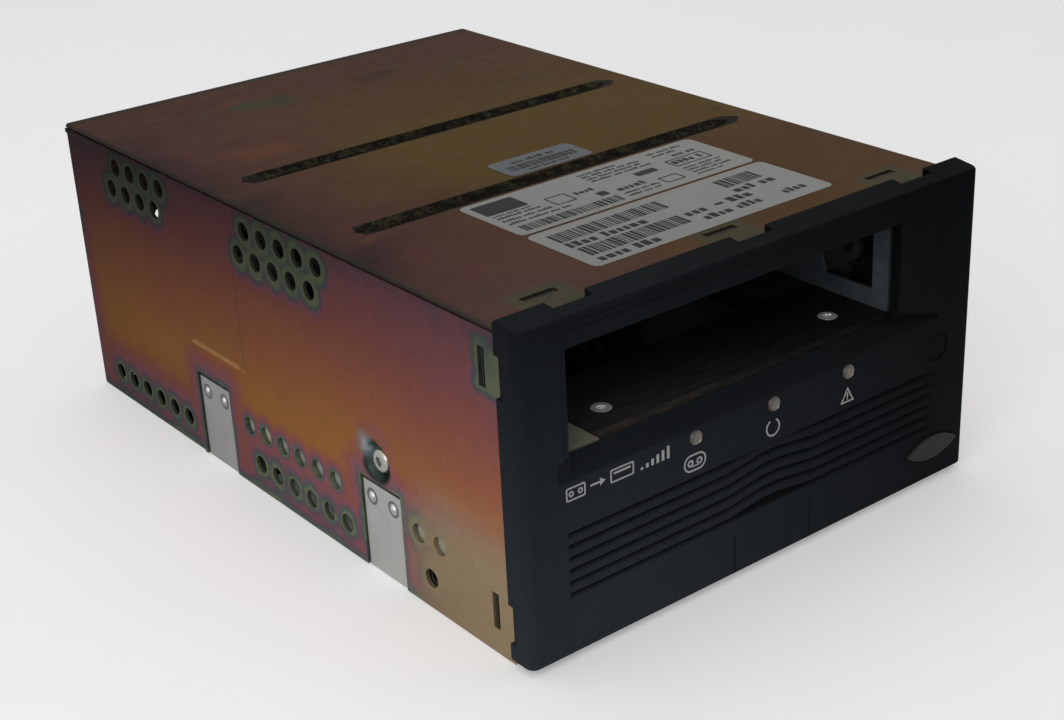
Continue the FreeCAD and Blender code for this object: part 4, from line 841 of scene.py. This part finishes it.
# Finishes without a setting: the function, the material's name, its colour and the rest.
PLAIN_FINISHES = {
    "black_plastic": (moulded, "black_plastic", (24, 26, 28), {"seed": 5.0, "shine": 0.15}),
    "white_plastic": (moulded, "natural_nylon", (206, 202, 190), {"rough": 0.4, "seed": 6.0}),
    "reel_plastic": (moulded, "reel_plastic", (22, 22, 24),
                     {"rough": 0.42, "seed": 8.0, "shine": 0.15}),
    "gear_plastic": (moulded, "gear_plastic", (52, 50, 47), {"rough": 0.4, "seed": 9.0}),
    "chip": (moulded, "chip_epoxy", (36, 36, 37), {"rough": 0.5, "seed": 10.0}),
    "lens": (lens_finish, "lamp_lens", (104, 99, 92), {}),
    "screw": (steel, "screw_steel", (176, 174, 168), {"rough": 0.28}),
    "bright_screw": (steel, "bright_screw_steel", (236, 236, 232),
                     {"rough": 0.3, "metallic": 0.5, "seed": 12.0}),
    "shelf": (steel, "shelf_sheet", (146, 144, 126),
              {"rough": 0.5, "metallic": 0.2, "seed": 10.0}),
    "shaft": (steel, "ground_steel", (170, 171, 173), {"rough": 0.24, "seed": 2.0}),
    "motor": (steel, "motor_steel", (138, 140, 144), {"rough": 0.36, "seed": 3.0}),
    "roller": (steel, "roller_alloy", (186, 188, 190),
               {"rough": 0.2, "turned": (0.2, 0.2, 3.0), "seed": 4.0}),
    "brass": (steel, "turned_brass", (186, 152, 92), {"rough": 0.3, "seed": 5.0}),
    "head": (steel, "head_ferrite", (52, 48, 46), {"rough": 0.16, "metallic": 0.3, "seed": 7.0}),
    "cast": (cast_metal, "die_cast_alloy", (142, 144, 146), {}),
    "blackened": (cast_metal, "blackened_alloy", (44, 44, 43), {"seed": 4.0}),
    "heat_sink": (cast_metal, "anodised_alloy", (50, 52, 56), {"seed": 2.0}),
}
LIBRARY = {}


def make_finish(name):
    if name in PLAIN_FINISHES:
        make, title, colour, options = PLAIN_FINISHES[name]
        return make(title, srgb(*colour), **options)
    scene = bpy.context.scene
    case, look, label = scene.drive_case, scene.drive_bezel, scene.drive_labels
    makers = {
        "plated_side": lambda: plated_side(case),
        "plated_lid": lambda: plated_lid(case),
        "plated_plain": lambda: plated_plain(case),
        "bare_sheet": lambda: bare_sheet(case),
        "lined_sheet": lambda: lined_sheet(case),
        "rail_sheet": lambda: rail_sheet(case),
        "side_plate": side_plate,
        "pads": pad_finish,
        "floor_plate": worn_black,
        "board": board_finish,
        "bezel": lambda: bezel_finish(look),
        "key": lambda: moulded("eject_key_plastic", look.key, rough=0.45, seed=3.0, shine=0.16),
        "mark": lambda: ink_finish("symbol_print", look.mark, seed=1.0),
        "paper": lambda: paper("label_paper", label.paper),
        "tinted": lambda: paper("tinted_paper", label.tint, seed=2.0),
        "ink": lambda: ink_finish("label_ink", label.ink, seed=2.0),
    }
    return makers[name]()


def finish(name):
    """Each finish is made once and shared."""
    if name not in LIBRARY:
        LIBRARY[name] = make_finish(name)
    return LIBRARY[name]


# ------------------------------------------------------------------ labels
SINK = 0.01                             # how far a thin piece sinks into what carries it
INK = 0.02                              # how far the printing stands above its label
INK_CORNER = 0.5
FRAME_LINE = 0.5                        # width and inner corner of a printed frame
FRAME_CORNER = 0.2
BAR_ROOM = 0.9                          # bars stop this far before their end
BAR_WIDTHS = (0.4, 0.4, 0.7, 1.0)
BAR_GAPS = (0.3, 0.4, 0.6)
TICKS_IN_GROUP = (3, 8)
TICK_WIDTH = 0.6                        # the next five count in heights of a tick
TICK_RISES = (0.72, 0.72, 1.0)
TICK_SHARES = (0.7, 0.9, 1.1)
TICK_GAP = 0.2
GROUP_GAP = 0.55

# Each label: its name, x0, x1, y0, y1 and finish.
LABELS = (
    ("upper_label", (-35.2, 42.4, 39.4, 65.5), "paper"),
    ("lower_label", (-35.3, 42.5, 11.9, 38.2), "paper"),
    ("small_label", (-10.2, 17.3, 74.6, 87.0), "tinted"),
)

# Each print: its name, solid blocks, frames and bars (x0, x1, y0, y1), lines (x0, x1, y, tall).
PRINTING = (
    ("upper_label_print",
     ((-33.0, -20.2, 55.6, 63.4), (-3.8, -0.8, 47.0, 50.0), (12.6, 19.6, 51.6, 54.4)),
     ((-15.6, -9.2, 49.8, 55.8), (24.6, 37.4, 50.2, 55.6), (14.6, 20.8, 42.6, 47.0)),
     ((-32.0, -0.2, 41.2, 45.2),),
     ((-32.6, -20.6, 53.9, 0.9), (-32.6, -17.4, 51.9, 1.3), (-32.6, -17.0, 49.5, 1.3),
      (-32.6, -12.6, 47.1, 1.3), (-7.6, -0.6, 52.2, 2.0), (1.4, 14.6, 62.4, 1.2),
      (1.4, 20.6, 60.5, 1.2), (1.4, 19.6, 58.6, 1.2), (1.4, 21.8, 56.7, 1.2),
      (2.0, 11.4, 46.6, 2.6), (1.4, 13.0, 44.0, 1.1), (1.4, 12.0, 42.0, 1.1),
      (25.0, 37.0, 62.2, 1.2), (25.0, 33.6, 60.1, 1.2), (29.6, 37.8, 57.0, 1.9),
      (25.6, 36.8, 51.9, 2.4), (24.6, 38.0, 47.7, 1.1), (24.6, 36.6, 45.8, 1.1),
      (24.6, 38.4, 43.9, 1.1), (24.6, 33.6, 42.0, 1.1))),
    ("lower_label_print",
     ((11.4, 14.2, 21.9, 23.1),), (),
     ((-31.6, 3.8, 29.2, 35.0), (-31.4, 1.0, 18.0, 23.8), (22.2, 35.4, 29.2, 35.0)),
     ((-31.8, -3.0, 25.0, 3.2), (-31.8, -8.0, 13.9, 3.2), (21.8, 37.6, 25.0, 3.2),
      (1.6, 10.4, 21.0, 3.2), (16.0, 23.4, 21.0, 3.2), (3.4, 23.4, 16.2, 3.0),
      (29.8, 38.2, 16.0, 3.0))),
    ("small_label_print", (), (), ((-7.4, 15.2, 78.2, 81.8),),
     ((-4.0, 10.6, 83.0, 1.8), (-3.4, 11.0, 76.2, 1.2))),
)


def print_bars(bm, x0, x1, y0, y1, z0, z1, chance):
    """Upright bars of uneven width, as on a stock label."""
    x = x0
    while x < x1 - BAR_ROOM:
        width = chance.choice(BAR_WIDTHS)
        block(bm, x, x + width, y0, y1, z0, z1)
        x += width + chance.choice(BAR_GAPS)


def print_line(bm, x0, x1, y, tall, z0, z1, chance):
    """A line of small upright ticks grouped like words; it spells nothing."""
    x = x0
    while x < x1 - tall:
        for _ in range(chance.randint(*TICKS_IN_GROUP)):
            if x > x1 - tall * TICK_WIDTH:
                break
            rise = chance.choice(TICK_RISES)
            width = tall * TICK_WIDTH * chance.choice(TICK_SHARES)
            block(bm, x, x + width, y, y + tall * rise, z0, z1)
            x += width + tall * TICK_GAP
        x += tall * GROUP_GAP


def make_labels():
    settings = bpy.context.scene.drive_labels
    chance = random.Random(settings.pattern)
    low, high = TOP - SINK, TOP + settings.thickness / MM
    ink = (high - SINK, high + INK)
    for name, box, kind in LABELS:
        bm = bmesh.new()
        slab(bm, rounded_rectangle(*box, settings.corner / MM), "xy", low, high)
        piece(name, bm, kind)
    for name, blocks, frames, bars, lines in PRINTING:
        bm = bmesh.new()
        for box in blocks:
            slab(bm, rounded_rectangle(*box, INK_CORNER), "xy", *ink)
        for box in frames:
            outline(bm, box, FRAME_LINE, INK_CORNER, FRAME_CORNER, "xy", *ink)
        for box in bars:
            print_bars(bm, *box, *ink, chance)
        for line in lines:
            print_line(bm, *line, *ink, chance)
        piece(name, bm, "ink")


# ------------------------------------------------------------------ bezel
SPRING_TURNS = 4
SPRING_WIRE = 0.25                      # radius of the eject spring's wire
COIL_STEPS = 24                         # steps in a turn of the coil, and sides of its wire
COIL_SIDES = 8
SYMBOL_LEVEL = 37.4                     # middle of the symbols under the lamps
TAPE_REELS = (-25.3, -22.5)             # x of the two rings in the cartridge symbol
OPEN_RING = (36, 118, 304)              # steps, start and sweep of the ring that isn't closed
LEGEND_LEVEL = 43.0                     # middle of the legend left of the lamps
LEGEND_LINE = 0.4
LEGEND_REELS = (-60.9, -58.3)
STAIR = (-40.6, 0.8, 1.6, 6)            # first x, width, pitch and number of the rising steps
STAIR_RISE = 0.52


def make_eject_coil():
    """The eject spring as a coil, in place of the carried-over spring."""
    low, high = (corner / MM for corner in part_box("eject_spring"))
    middle, radius = (low + high) / 2, (high.x - low.x) / 2 - SPRING_WIRE
    front, back = low.y - BACK_OF_BEZEL + SPRING_WIRE, high.y - BACK_OF_BEZEL - SPRING_WIRE
    steps = COIL_STEPS * SPRING_TURNS
    bm = bmesh.new()
    loops = []
    for i in range(steps + 1):
        turn = 2 * math.pi * SPRING_TURNS * i / steps
        y = front + (back - front) * i / steps
        loop = []
        for k in range(COIL_SIDES):
            side = 2 * math.pi * k / COIL_SIDES
            reach = radius + SPRING_WIRE * math.cos(side)
            loop.append(bm.verts.new(at(middle.x + reach * math.cos(turn),
                                        y + SPRING_WIRE * math.sin(side),
                                        middle.z + reach * math.sin(turn))))
        loops.append(loop)
    skin(bm, loops)
    piece("eject_coil", bm, "shaft", smooth=50, stands_for=("eject_spring",),
          bend=("eject", "chassis", at(middle.x, front, middle.z),
                at(middle.x, back, middle.z)))


def make_lamp_symbols(*face):
    """Under the lamps: a cartridge outline, an open ring and a warning triangle."""
    bm = bmesh.new()
    outline(bm, (-27.4, -20.4, SYMBOL_LEVEL - 2.25, SYMBOL_LEVEL + 2.25), 0.45, 2.2, 1.75, *face,
            steps=9)
    for x in TAPE_REELS:
        frame_slab(bm, *(circle(x, SYMBOL_LEVEL, radius, 24) for radius in (0.95, 0.45)), *face)
    slab(bm, rectangle(*TAPE_REELS, SYMBOL_LEVEL - 1.05, SYMBOL_LEVEL - 0.75), *face)
    piece("tape_symbol", bm, "mark")
    bm = bmesh.new()
    strip(bm, *(circle(LAMPS[1], SYMBOL_LEVEL, radius, *OPEN_RING) for radius in (2.35, 1.9)),
          *face)
    piece("ready_symbol", bm, "mark")
    bm = bmesh.new()
    frame_slab(bm, [(25.2, 35.3), (30.0, 35.3), (27.6, 39.5)],
               [(25.9, 35.7), (29.3, 35.7), (27.6, 38.7)], *face)
    slab(bm, [(27.4, 36.5), (27.8, 36.5), (27.85, 38.0), (27.35, 38.0)], *face)
    slab(bm, circle(27.6, 36.15, 0.24, 16), *face)
    piece("alert_symbol", bm, "mark")


def make_legend(*face):
    """Left of the lamps: a cartridge, an arrow, the drive it goes into and rising steps."""
    under, over = LEGEND_LEVEL - 1.7, LEGEND_LEVEL + 1.7
    bm = bmesh.new()
    outline(bm, (-62.4, -56.8, under, over), LEGEND_LINE, 0.5, 0.25, *face)
    for x in LEGEND_REELS:
        frame_slab(bm, *(circle(x, LEGEND_LEVEL, radius, 20) for radius in (0.75, 0.35)), *face)
    arrow = ((-55.4, -0.25), (-52.6, -0.25), (-52.6, -1.0), (-51.0, 0.0), (-52.6, 1.0),
             (-52.6, 0.25), (-55.4, 0.25))
    slab(bm, [(x, LEGEND_LEVEL + rise) for x, rise in arrow], *face)
    outline(bm, (-49.6, -42.6, under, over), LEGEND_LINE, 0.4, 0.2, *face)
    slab(bm, rectangle(-48.6, -43.6, LEGEND_LEVEL + 0.3, LEGEND_LEVEL + 0.8), *face)
    first, width, pitch, count = STAIR
    for i in range(count):
        left = first + pitch * i
        slab(bm, rectangle(left, left + width, LEGEND_LEVEL - 1.6,
                           LEGEND_LEVEL - 1.0 + STAIR_RISE * i), *face)
    piece("slot_legend", bm, "mark")


def make_bezel():
    dress("bezel", "bezel")
    dress("black_plastic", "bezel_clips")
    dress("key", "eject_button")
    dress("lens", "status_lamps")
    make_eject_coil()
    face = ("xz", FRONT - bpy.context.scene.drive_bezel.mark_proud / MM, FRONT + SINK)
    make_lamp_symbols(*face)
    make_legend(*face)


# ------------------------------------------------------------------ case, inside and screws
SIDE_SCREW = (51.9, 32.2)               # y and z
BOTTOM_SCREWS = ((-59.0, 59.0), (16.0, 98.0, 182.0))       # their x and y
FLOOR_SCREWS = ((-37.8, 37.8), 9.0)
FAN_MIDDLE = (44.0, 58.0)               # x and z
FAN_SCREW_OFFSETS = (-16.0, 16.0)
SCREW_ANGLE = 35                        # edges sharper than this many degrees stay sharp


def make_case():
    dress("plated_side", "left_wall", "right_wall")
    dress("plated_lid", "top_cover")
    dress("plated_plain", "rear_panel")
    dress("lined_sheet", "bottom_cover")
    dress("rail_sheet", "left_rail", "right_rail")
    dress("pads", "mount_pads")


def make_receiver():
    dress("floor_plate", "receiver_floor")
    dress("shelf", "receiver_shelf_left")
    dress("blackened", "receiver_shelf_right", "receiver_lid")
    dress("side_plate", "receiver_wall_left", "receiver_wall_right")
    dress("cast", "receiver_block")
    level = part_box("receiver_screws")[1].z / MM
    places, y = FLOOR_SCREWS
    bm = bmesh.new()
    for x in places:
        flat_screw_solid(bm, (x, y), level, 1)
    piece("receiver_socket_screws", bm, "bright_screw",
          smooth=SCREW_ANGLE, stands_for=("receiver_screws",))


def make_fasteners():
    bm = bmesh.new()
    tall = 1.9
    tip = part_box("side_screws")[1].x / MM
    for way in (-1, 1):
        screw_solid(bm, "x", SIDE_SCREW, way * (tip - tall), way, 3.2, tall)
    piece("side_socket_screws", bm, "screw", smooth=SCREW_ANGLE,
          stands_for=("side_screws",))
    bm = bmesh.new()
    for x in BOTTOM_SCREWS[0]:
        for y in BOTTOM_SCREWS[1]:
            flat_screw_solid(bm, (x, y), 0.0, -1)
    piece("bottom_socket_screws", bm, "screw", smooth=SCREW_ANGLE,
          stands_for=("bottom_screws",))
    bm = bmesh.new()
    tall = 1.6
    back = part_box("fan_screws")[1].y / MM - BACK_OF_BEZEL
    for across in FAN_SCREW_OFFSETS:
        for rise in FAN_SCREW_OFFSETS:
            screw_solid(bm, "y", (FAN_MIDDLE[0] + across, FAN_MIDDLE[1] + rise), back - tall, 1,
                        2.9, tall, length=6.0)
    piece("fan_socket_screws", bm, "screw", smooth=SCREW_ANGLE,
          stands_for=("fan_screws",))
    dress("screw", "board_screws", "motor_screws")


def make_transport():
    dress("cast", "deck", "deck_legs", "head_carriage")
    dress("motor", "supply_motor", "takeup_motor", "head_stepper", "load_motor")
    dress("reel_plastic", "takeup_reel", "supply_hub")
    dress("roller", *("guide_roller_%d" % number for number in (1, 2, 3, 4)))
    dress("shaft", "head_guide_rods", "head_lead_screw")
    dress("head", "tape_head")
    dress("bare_sheet", "head_bridge")
    dress("blackened", "loader_plate")
    dress("gear_plastic", "load_gear", "latch_lever")
    dress("brass", "load_pinion")
    dress("black_plastic", "leader_arm")


def make_electronics():
    dress("board", "main_board", "lamp_board", "eject_switch")
    dress("brass", "board_spacers")
    dress("heat_sink", "heat_sink")
    dress("chip", "board_chips", "signal_socket", "jumper_header", "fan_frame",
          "fan_rotor")
    dress("white_plastic", "power_socket")
    dress("roller", "capacitors")


# ------------------------------------------------------------------ stage, in metres
FLOOR_REACH = 4.0                       # from the middle to each side
FLOOR_LEVEL = -0.0002
FLOOR_GLOW = 0.24                       # brightness added where the camera sees the floor
WORLD_LIGHT = 0.5                       # strength of the white world as a light
WHITE = (1.0, 1.0, 1.0, 1.0)
CAMERA_PLACE = (-277.02, -279.66, 235.94)          # millimetres, y from the back of the bezel
CAMERA_AXES = ((0.78183, -0.62182, -0.04560), (0.29326, 0.30222, 0.90701),
               (-0.55021, -0.72250, 0.41864))      # right, up and back
SENSOR_WIDTH = 36.0
# Each light: its name, place, the spot it points at, and the side of its square.
LIGHTS = (
    ("key_light", (-0.75, -0.55, 0.55), (-0.03, -0.05, 0.03), 0.7),
    ("top_light", (-0.1, 0.25, 1.1), (0.0, 0.0, 0.05), 0.9),
)


def place_in_scene(name, data):
    made = bpy.data.objects.new(name, data)
    bpy.context.scene.collection.objects.link(made)
    return made


def make_floor(colour):
    """A pale floor that looks near white to the camera."""
    f = Finish("studio_floor")
    path = f.node("LightPath")
    seen = f.most(path.outputs["Is Camera Ray"], path.outputs["Is Glossy Ray"])
    mottle = f.noise(60.0, seed=200.0)
    tint = f.mix(f.between(mottle, 0.3, 0.7), toned(colour, 0.985), tuple(colour))
    material = f.done(tint, 0.9, Emission_Color=WHITE, Specular_IOR_Level=0.0,
                      Emission_Strength=f.times(seen, FLOOR_GLOW))
    bm = bmesh.new()
    for x, y in rectangle(-FLOOR_REACH, FLOOR_REACH, -FLOOR_REACH, FLOOR_REACH):
        bm.verts.new((x, y, FLOOR_LEVEL))
    bm.faces.new(bm.verts)
    mesh = bpy.data.meshes.new("studio_floor")
    bm.to_mesh(mesh)
    bm.free()
    mesh.materials.append(material)
    ground = place_in_scene("studio_floor", mesh)


def make_world():
    """Plain white to the camera and in reflections, and a dimmer white as a light."""
    world = bpy.data.worlds.new("studio")
    bpy.context.scene.world = world
    world.use_nodes = True
    nodes, links = world.node_tree.nodes, world.node_tree.links
    nodes.clear()
    out = nodes.new("ShaderNodeOutputWorld")
    mixer = nodes.new("ShaderNodeMixShader")
    for socket, strength in ((1, WORLD_LIGHT), (2, 1.0)):
        white = nodes.new("ShaderNodeBackground")
        white.inputs["Color"].default_value = WHITE
        white.inputs["Strength"].default_value = strength
        links.new(white.outputs[0], mixer.inputs[socket])
    path = nodes.new("ShaderNodeLightPath")
    seen = path.outputs["Is Camera Ray"]
    for ray in ("Is Glossy Ray", "Is Transmission Ray"):
        either = nodes.new("ShaderNodeMath")
        either.operation = "MAXIMUM"
        links.new(seen, either.inputs[0])
        links.new(path.outputs[ray], either.inputs[1])
        seen = either.outputs[0]
    links.new(seen, mixer.inputs[0])
    links.new(mixer.outputs[0], out.inputs["Surface"])


def make_lights(powers):
    for (name, spot, aim, size), power in zip(LIGHTS, powers):
        data = bpy.data.lights.new(name, "AREA")
        data.shape = "SQUARE"
        data.size = size
        data.energy = power
        lamp = place_in_scene(name, data)
        lamp.matrix_world = Matrix.Translation(spot) @ (
            Vector(aim) - Vector(spot)).to_track_quat("-Z", "Y").to_matrix().to_4x4()


def make_camera(lens):
    data = bpy.data.cameras.new("camera")
    data.sensor_width = SENSOR_WIDTH
    data.lens = lens
    camera = place_in_scene("camera", data)
    turn = Matrix(CAMERA_AXES).transposed().to_4x4()
    camera.matrix_world = Matrix.Translation(at(*CAMERA_PLACE)) @ turn
    bpy.context.scene.camera = camera


def make_stage():
    settings = bpy.context.scene.drive_stage
    make_floor(settings.floor)
    make_world()
    make_lights((settings.key_light, settings.top_light))
    make_camera(settings.lens)
    bpy.context.scene.view_settings.view_transform = "Standard"


# ------------------------------------------------------------------ operators and panel
class DRIVE_OT_stage(bpy.types.Operator):
    """Floor, soft light and camera"""
    bl_idname = "drive.stage"
    bl_label = "Stage"
    bl_options = {"REGISTER", "UNDO"}

    def execute(self, context):
        make_stage()
        return {"FINISHED"}


class DRIVE_OT_case(bpy.types.Operator):
    """Plated case, rails and bottom sheet"""
    bl_idname = "drive.case"
    bl_label = "Case"
    bl_options = {"REGISTER", "UNDO"}

    def execute(self, context):
        make_case()
        return {"FINISHED"}


class DRIVE_OT_labels(bpy.types.Operator):
    """Three stock labels on the lid with generic printing"""
    bl_idname = "drive.labels"
    bl_label = "Labels"
    bl_options = {"REGISTER", "UNDO"}

    def execute(self, context):
        make_labels()
        return {"FINISHED"}


class DRIVE_OT_bezel(bpy.types.Operator):
    """Charcoal bezel, lamps, eject button and symbols"""
    bl_idname = "drive.bezel"
    bl_label = "Bezel"
    bl_options = {"REGISTER", "UNDO"}

    def execute(self, context):
        make_bezel()
        return {"FINISHED"}


class DRIVE_OT_receiver(bpy.types.Operator):
    """Cartridge receiver behind the opening"""
    bl_idname = "drive.receiver"
    bl_label = "Receiver"
    bl_options = {"REGISTER", "UNDO"}

    def execute(self, context):
        make_receiver()
        return {"FINISHED"}


class DRIVE_OT_fasteners(bpy.types.Operator):
    """Screws that can be seen from outside"""
    bl_idname = "drive.fasteners"
    bl_label = "Fasteners"
    bl_options = {"REGISTER", "UNDO"}

    def execute(self, context):
        make_fasteners()
        return {"FINISHED"}


class DRIVE_OT_transport(bpy.types.Operator):
    """Deck, reels, rollers, head and motors"""
    bl_idname = "drive.transport"
    bl_label = "Transport"
    bl_options = {"REGISTER", "UNDO"}

    def execute(self, context):
        make_transport()
        return {"FINISHED"}


class DRIVE_OT_electronics(bpy.types.Operator):
    """Boards, sockets, heat sink and fan"""
    bl_idname = "drive.electronics"
    bl_label = "Electronics"
    bl_options = {"REGISTER", "UNDO"}

    def execute(self, context):
        make_electronics()
        return {"FINISHED"}


STEPS = (DRIVE_OT_stage, DRIVE_OT_case, DRIVE_OT_labels, DRIVE_OT_bezel,
         DRIVE_OT_receiver, DRIVE_OT_fasteners, DRIVE_OT_transport, DRIVE_OT_electronics)
SETTINGS = {"drive_case": CaseSettings, "drive_bezel": BezelSettings,
            "drive_labels": LabelSettings, "drive_stage": StageSettings}


class DRIVE_PT_panel(bpy.types.Panel):
    """Sidebar panel with the settings and the steps."""
    bl_idname = "DRIVE_PT_panel"
    bl_label = "Data Tape Drive"
    bl_space_type = "VIEW_3D"
    bl_region_type = "UI"
    bl_category = "Tape Drive"

    def draw(self, context):
        for holder in SETTINGS:
            settings = getattr(context.scene, holder)
            box = self.layout.box()
            box.label(text=settings.bl_rna.name)
            for name in settings.__annotations__:
                box.prop(settings, name)
        for step in STEPS:
            self.layout.operator(step.bl_idname)


def register():
    for holder, group in SETTINGS.items():
        bpy.utils.register_class(group)
        setattr(bpy.types.Scene, holder, PointerProperty(type=group))
    for step in STEPS:
        bpy.utils.register_class(step)
    bpy.utils.register_class(DRIVE_PT_panel)


def unregister():
    bpy.utils.unregister_class(DRIVE_PT_panel)
    for step in reversed(STEPS):
        bpy.utils.unregister_class(step)
    for holder, group in SETTINGS.items():
        delattr(bpy.types.Scene, holder)
        bpy.utils.unregister_class(group)


def main():
    register()
    bpy.ops.drive.stage()
    bpy.ops.drive.case()
    bpy.ops.drive.labels()
    bpy.ops.drive.bezel()
    bpy.ops.drive.receiver()
    bpy.ops.drive.fasteners()
    bpy.ops.drive.transport()
    bpy.ops.drive.electronics()


if __name__ == "__main__":
    main()
